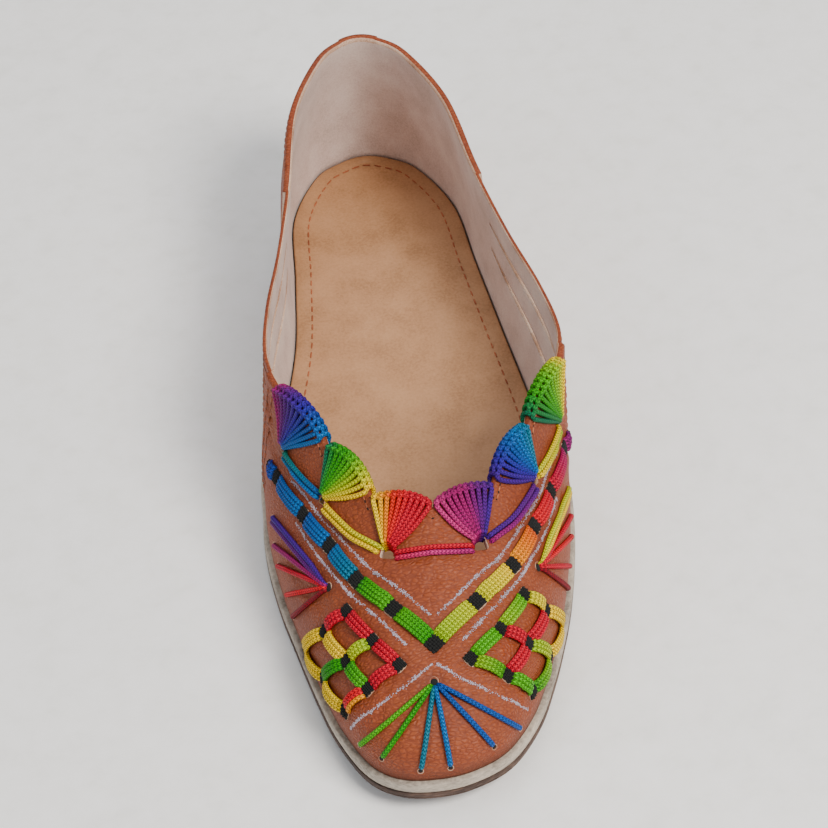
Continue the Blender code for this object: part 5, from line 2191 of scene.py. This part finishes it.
                # the cords of one rung differ side by side, those of the others change along their length
                cords = [dyes] * self.rung.cords
                if key == "00-10":
                    cords = [(dyes[min(j, len(dyes) - 1)],) for j in range(self.rung.cords)]
                runs += self.ribbon(self.rung, a, b, (trim, 1 - trim), cords)
            name = f"lattice_{side}"
            self.maker.make(f"{name}_cords", runs, self.rung.thickness, "yellow_cord", (name,))
            for (i, j), spot in nodes.items():
                other = nodes[i, j + 1] if j < 2 else nodes[i, j - 1]
                place, out = self.skin.drop(spot)
                self.add_square(place, out, unit(other - spot), 0.88 * self.square)

    def spray(self, name: str, origin: Place, ends: tuple, dyes: list, slot: str) -> None:
        """Cords that spread from one hole, straight as seen on the vamp, and go in at their own holes.

        Args:
            name: the CAD node it stands for.
            origin: place of the common hole.
            ends: places of the ends.
            dyes: for each end, the dyes of each of its cords.
            slot: passed on, not used.
        """
        start, out = self.skin.drop(self.last.skin(*origin))
        r, runs = 0.5 * self.thickness, []
        for n, (end, cords) in enumerate(zip(ends, dyes)):
            tip = self.skin.drop(self.last.skin(*end))[0]
            run = tip - start
            length = float(np.linalg.norm(run))
            shares = np.linspace(0.9 * MM / length, 1, int(length / MM) + 4)
            line = np.array([self.skin.under_view(start + run * f) for f in shares])
            line = line[np.concatenate([[True], np.linalg.norm(np.diff(line, axis=0), axis=1) > 0.05 * MM])]
            gone = distances(line)
            leaves, enters = gone + 0.6 * MM, gone[-1] - gone + 0.15 * MM
            heights = -self.sunk + (self.sunk + 0.93 * r) * ease(leaves / (1.7 * MM)) * ease(enters / (1.5 * MM))
            heights = heights + 0.35 * r * (n % 2) * np.exp(-gone / (4 * MM))
            swell = 0.82 + 0.18 * ease(gone / (9 * MM))
            for j, dye in enumerate(cords):
                cord = self.side_by_side(line, 0.0, heights, (dye,), swell)
                if len(cords) > 1:
                    # both cords of a pair leave the hole together
                    aside = self.side_by_side(line, (j - 0.5) * self.pair_pitch, heights, (dye,))
                    mix = np.concatenate([[0], ease(gone / (10 * MM)), [1]])[:, None]
                    cord = self.maker.run((cord.line * (1 - mix) + aside.line * mix)[1:-1], (dye,), swell)
                runs.append(cord)
            place, up = self.skin.drop(line[-1] + unit(line[-1] - line[-2]) * 0.35 * MM)
            head = laid_flat(unit(line[-1] - line[-2]), up)
            wide = self.pair_hole if len(cords) > 1 else self.end_hole
            # a dark disc in the hole where the cord goes in: painted shade
            self.hole_shades.append((place + up * 0.02 * MM, up, head, (wide * 1.1, wide * 0.98, 0.38 * MM)))
            self.note_lip(place, up, head, wide)
        head = unit(np.cross(out, (1.0, 0.0, 0.0)))
        # a dark disc in the common hole: painted shade
        self.hole_shades.append((start, out, head, (3.6 * MM, 3.3 * MM, 1.3 * MM)))
        self.note_lip(start, out, head, self.common_hole)
        self.maker.make(f"{name}_cords", runs, self.thickness, slot, (name,))

    def note_lip(self, place: np.ndarray, up: np.ndarray, head: np.ndarray, wide: float) -> None:
        """Notes the pale raised lip round a small hole.

        Args:
            place: the hole.
            up: the leather's outward direction.
            head: the way the cord goes in.
            wide: the hole's width.
        """
        self.rings.append((place + head * 0.12 * wide, up, head, (wide * 0.84, wide * 0.74, 0.3 * MM)))

    def sprays(self) -> None:
        """The toe's spray and one on each side."""
        toe = [(Dye.LEAF,), (Dye.GREEN,), (Dye.TEAL,), (Dye.AZURE,), (Dye.BLUE,), (Dye.BLUE,)]
        self.spray("toe_fan", TOE_ORIGIN, TOE_ENDS, toe, "green_cord")
        inner = [(Dye.PURPLE, Dye.PLUM), (Dye.MAGENTA,), (Dye.CRIMSON,), (Dye.RED,), (Dye.MAROON,)]
        outer = [(Dye.YELLOW, Dye.ACID), (Dye.CRIMSON,), (Dye.RED,), (Dye.CRIMSON,), (Dye.MAROON,)]
        for side, sign, dyes in (("inner", -1, inner), ("outer", 1, outer)):
            origin = (sign * SIDE_ORIGIN[0], SIDE_ORIGIN[1])
            ends = tuple((sign * u, t) for u, t in SIDE_ENDS)
            self.spray(f"side_fan_{side}", origin, ends, dyes, "purple_cord")

    def build(self) -> None:
        """Builds all that lies on the leather."""
        self.links()
        self.band()
        self.lattices()
        self.sprays()
        self.repeats.make(
            "black_squares", self.patterns.square, self.squares, self.materials.black, "green_cord",
        )
        self.repeats.make("slot_lips", self.patterns.rib, self.lips, self.materials.cut, "leather")
        self.repeats.make("hole_lips", self.patterns.dish, self.rings, self.materials.cut, "leather")
        # dark discs in the holes: painted shade
        self.repeats.make("hole_darks", self.patterns.plug, self.hole_shades, self.materials.black, "leather")


@dataclass
class Markings:
    """Silver marking lines beside the band and over the toe: broken rows of small flakes."""

    skin: Skin
    last: Last
    repeats: Repeats
    patterns: Patterns
    materials: Materials
    per_mm: float = 19.0
    width: float = 0.74 * MM
    solid: float = 0.78
    wander: float = 0.15 * MM
    flake_mm: Place = (0.2, 0.5)
    upper: tuple = ((7.28, 0.632), (5.85, 0.690), (4.67, 0.738), (2.95, 0.756), (1.45, 0.742), (0.12, 0.676))
    lower: tuple = ((6.45, 0.510), (5.42, 0.555), (4.72, 0.580), (3.80, 0.615), (2.32, 0.625), (0.97, 0.580))
    peak: tuple = ((2.65, 0.120), (1.95, 0.300), (0.88, 0.450), (0.06, 0.520))

    def build(self) -> None:
        """Builds the flakes of all six lines as one piece."""
        random = np.random.default_rng(41)
        sites = []
        for places in (self.upper, self.lower, self.peak):
            for sign in (-1, 1):
                line = self.skin.course([(sign * u, t) for u, t in places], 1.0 * MM)
                total = distances(line)[-1]
                phases = random.uniform(0, 6.28, 4)
                count = int(total / MM * self.per_mm)
                for where in np.sort(random.uniform(0, total, count)):
                    w = where / MM
                    solid = self.solid + 0.25 * math.sin(w / 1.9 + phases[0])
                    solid += 0.2 * math.sin(w / 0.83 + phases[1])
                    solid += 0.22 * math.sin(w / 5.7 + phases[2])
                    if random.uniform() > solid:
                        continue
                    p = read_line(line, np.array([where]))[0]
                    q = read_line(line, np.array([min(where + MM, total)]))[0]
                    r = read_line(line, np.array([max(where - MM, 0.0)]))[0]
                    place, out = self.skin.drop(p)
                    aside = np.cross(out, unit(q - r))
                    wander = self.wander * math.sin(w / 3.3 + phases[3])
                    offset = random.normal(0, 0.32) * self.width + wander
                    place, out = self.skin.drop(place + aside * offset)
                    turn = random.uniform(0, 6.28)
                    head = unit(aside) * math.cos(turn) + unit(q - r) * math.sin(turn)
                    tilt = unit(out + random.normal(0, 0.09, 3))
                    size = random.uniform(*self.flake_mm) * MM
                    sites.append((place + out * 0.04 * MM, tilt, head, (size, size * 0.8, 0.07 * MM)))
        self.repeats.make("silver_marks", self.patterns.flake, sites, self.materials.silver, "leather")


@dataclass
class Seams:
    """Machine stitches: along the opening, the wings' ends, the counter and the heel's tape."""

    last: Last
    upper: Upper
    repeats: Repeats
    patterns: Patterns
    materials: Materials
    pitch: float = 2.3 * MM
    long: float = 1.7 * MM
    wide: float = 0.5 * MM
    inset: float = 3.0 * MM
    beside_slit: float = 0.035

    def row(self, places: np.ndarray) -> list:
        """Stitches along a line of places.

        Args:
            places: rows of fold and share.

        Returns:
            Sites for Repeats.
        """
        last, sites = self.last, []
        line = last.skin(places[:, 0], places[:, 1])
        out = last.normal(places[:, 0], places[:, 1])
        sunk = self.upper.step(places[:, 0]) - self.upper.relief(places[:, 0], places[:, 1], line)
        line = line - out * sunk[:, None]
        gone = distances(line)
        for where in np.arange(0.5 * self.pitch, gone[-1], self.pitch):
            p, q = (read_line(line, np.array([w]))[0] for w in (where, where + 0.5 * MM))
            n = unit(np.array([np.interp(where, gone, out[:, i]) for i in range(3)]))
            head = unit(q - p)
            sites.append((p + n * 0.03 * MM, n, head, (self.long, self.wide, 0.5 * MM)))
        return sites

    def along_rim(self, first: float, last_fold: float, inset: float) -> np.ndarray:
        """Places a fixed distance under the scalloped edge.

        Args:
            first: first fold.
            last_fold: last fold.
            inset: the distance.

        Returns:
            Rows of fold and share.
        """
        us = np.linspace(first, last_fold, max(8, int(abs(last_fold - first) * 14)))
        return np.array([(u, self.last.rim_share(u) - inset / self.last.girth(u)) for u in us])

    def build(self) -> None:
        """Builds every row as one piece, and black flakes of painted shade in the needle holes at the stitches'
        ends as another.
        """
        last, sites = self.last, []
        for sign in (-1, 1):
            for first, end in ((0.0, last.wing_end - 0.25), (last.wing_end + 0.1, last.counter_from - 0.1),
                               (last.counter_from + 0.25, self.upper.tape_from - 0.15)):
                sites += self.row(self.along_rim(sign * first, sign * end, self.inset))
            ts = np.linspace(0.05, 0.90, 40)
            for u in (
                last.wing_end - 0.16, last.wing_end - 0.40, last.counter_from + 0.16,
                self.upper.tape_from + 0.16,
            ):
                sites += self.row(np.stack([np.full(40, sign * u), ts], -1))
            # the strips' own edges, either side of each slit
            for low, high in last.slits:
                for t in (low - self.beside_slit, high + self.beside_slit):
                    us = np.linspace(last.slit_folds[0] - 0.2, last.slit_folds[1] + 0.2, 40)
                    sites += self.row(np.stack([sign * us, np.full(40, t)], -1))
        self.repeats.make("seam_stitches", self.patterns.pill, sites, self.materials.seam, "leather", 0.06)
        # black flakes at both ends of each stitch: painted shade in the needle holes
        holes = [
            (p + head * end * 0.54 * self.long, out, head, (0.6 * MM, 0.5 * MM, 0.14 * MM))
            for p, out, head, _ in sites
            for end in (-1, 1)
        ]
        self.repeats.make("needle_holes", self.patterns.flake, holes, self.materials.black, "leather", 0.15)


# The studio.


@dataclass
class Studio:
    """Plain pale floor, soft lights and a camera where the photograph's stood."""

    materials: Materials
    elevation: float = VIEW_ELEVATION
    azimuth: float = -4.0
    roll: float = -3.0
    distance: float = 0.70
    looked_at: tuple[float, float, float] = (-0.00176, -0.083, 0.030)
    sensor: float = 36.0
    fill: float = 0.92
    world: float = 0.36
    # name, place, side in metres, watts and colour of each light
    lamps: tuple = (
        ("key", (0.55, -0.55, 0.95), 0.5, 18.0, "FFF8F0"), ("fill", (-0.85, -0.55, 0.65), 0.9, 3.5, "F4F8FF"),
        ("top", (0.0, 0.55, 1.05), 0.8, 5.0, "FFFFFF"),
    )

    def floor(self) -> None:
        """Adds the floor."""
        size = 3.0
        corners = np.array([(-size, -size, 0), (size, -size, 0), (size, size, 0), (-size, size, 0)])
        plane = plain_mesh("floor", corners, [(0, 1, 2, 3)], [self.materials.floor])
        plane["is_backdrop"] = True

    def light(self, name: str, place: tuple, size: float, power: float, colour: str) -> None:
        """Adds one square soft light that faces the shoe.

        Args:
            name: its name.
            place: where it hangs.
            size: its side in metres.
            power: watts.
            colour: hex colour.
        """
        lamp = bpy.data.lights.new(name, "AREA")
        lamp.size, lamp.energy, lamp.color = size, power, linear(colour)
        ob = put(name, lamp)
        ob.location = place
        ob.rotation_euler = (Vector((0, -0.02, 0.03)) - Vector(place)).to_track_quat("-Z", "Y").to_euler()

    def lights(self) -> None:
        """Adds the lights and the pale surroundings."""
        for lamp in self.lamps:
            self.light(*lamp)
        world = bpy.data.worlds.new("studio")
        world.use_nodes = True
        background = world.node_tree.nodes["Background"]
        background.inputs["Color"].default_value = (1.0, 1.0, 1.0, 1)
        background.inputs["Strength"].default_value = self.world
        bpy.context.scene.world = world

    def camera(self, low: Vector, high: Vector) -> None:
        """Adds the camera, turned to hold the whole shoe in a square frame.

        Args:
            low: the shoe's lowest corner.
            high: its highest corner.
        """
        a, e, r = (math.radians(x) for x in (self.azimuth, self.elevation, self.roll))
        back = np.array([math.sin(a) * math.cos(e), -math.cos(a) * math.cos(e), math.sin(e)])
        eye = np.array(self.looked_at) + back * self.distance
        us = np.linspace(-LAST.heel_fold, LAST.heel_fold, 120)
        low_ring, high_ring = LAST.skin(us, np.zeros(120)), LAST.skin(us, np.ones(120))
        low_ring[:, 2] -= LAST.outsole + LAST.midsole
        seen = np.concatenate([low_ring, high_ring])
        aim = 0.5 * (np.array(low) + np.array(high))
        for _ in range(6):
            f = unit(aim - eye)
            right = unit(np.cross(f, (0.0, 0.0, 1.0)))
            up = np.cross(right, f)
            right, up = (math.cos(r) * right + math.sin(r) * up, -math.sin(r) * right + math.cos(r) * up)
            d = seen - eye
            z = d @ f
            x, y = (d @ right) / z, (d @ up) / z
            reach = float(np.linalg.norm(aim - eye))
            aim = aim + reach * (right * 0.5 * (x.max() + x.min()) + up * 0.5 * (y.max() + y.min()))
        half = 0.5 * max(x.max() - x.min(), y.max() - y.min())
        data = bpy.data.cameras.new("camera")
        data.sensor_width = self.sensor
        data.lens = 0.5 * self.sensor * self.fill / half
        data.clip_start, data.clip_end = 0.01, 20.0
        ob = put("camera", data)
        ob.matrix_world = Matrix(
            [(right[i], up[i], -f[i], eye[i]) for i in range(3)] + [(0.0, 0.0, 0.0, 1.0)]
        )
        bpy.context.scene.camera = ob


def main() -> None:
    """Builds the shoe piece by piece, then the studio."""
    logging.basicConfig(level=logging.INFO, format="%(name)s %(message)s")
    materials, patterns, repeats = Materials(), Patterns(), Repeats()
    relief = Relief(LAST, dents=pulled_places())
    skin = Skin(LAST, relief)
    LOG.info("form ready")
    Sole(LAST, materials, repeats, patterns).build()
    upper = Upper(LAST, relief, materials)
    upper.build()
    maker = CordMaker(materials)
    FanWork(LAST, maker).build()
    Laid(LAST, skin, maker, repeats, patterns, materials).build()
    Markings(skin, LAST, repeats, patterns, materials).build()
    Seams(LAST, upper, repeats, patterns, materials).build()
    patterns.clear()
    studio = Studio(materials)
    studio.floor()
    studio.lights()
    studio.camera(*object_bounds())
    LOG.info("studio ready")


if __name__ == "__main__":
    main()
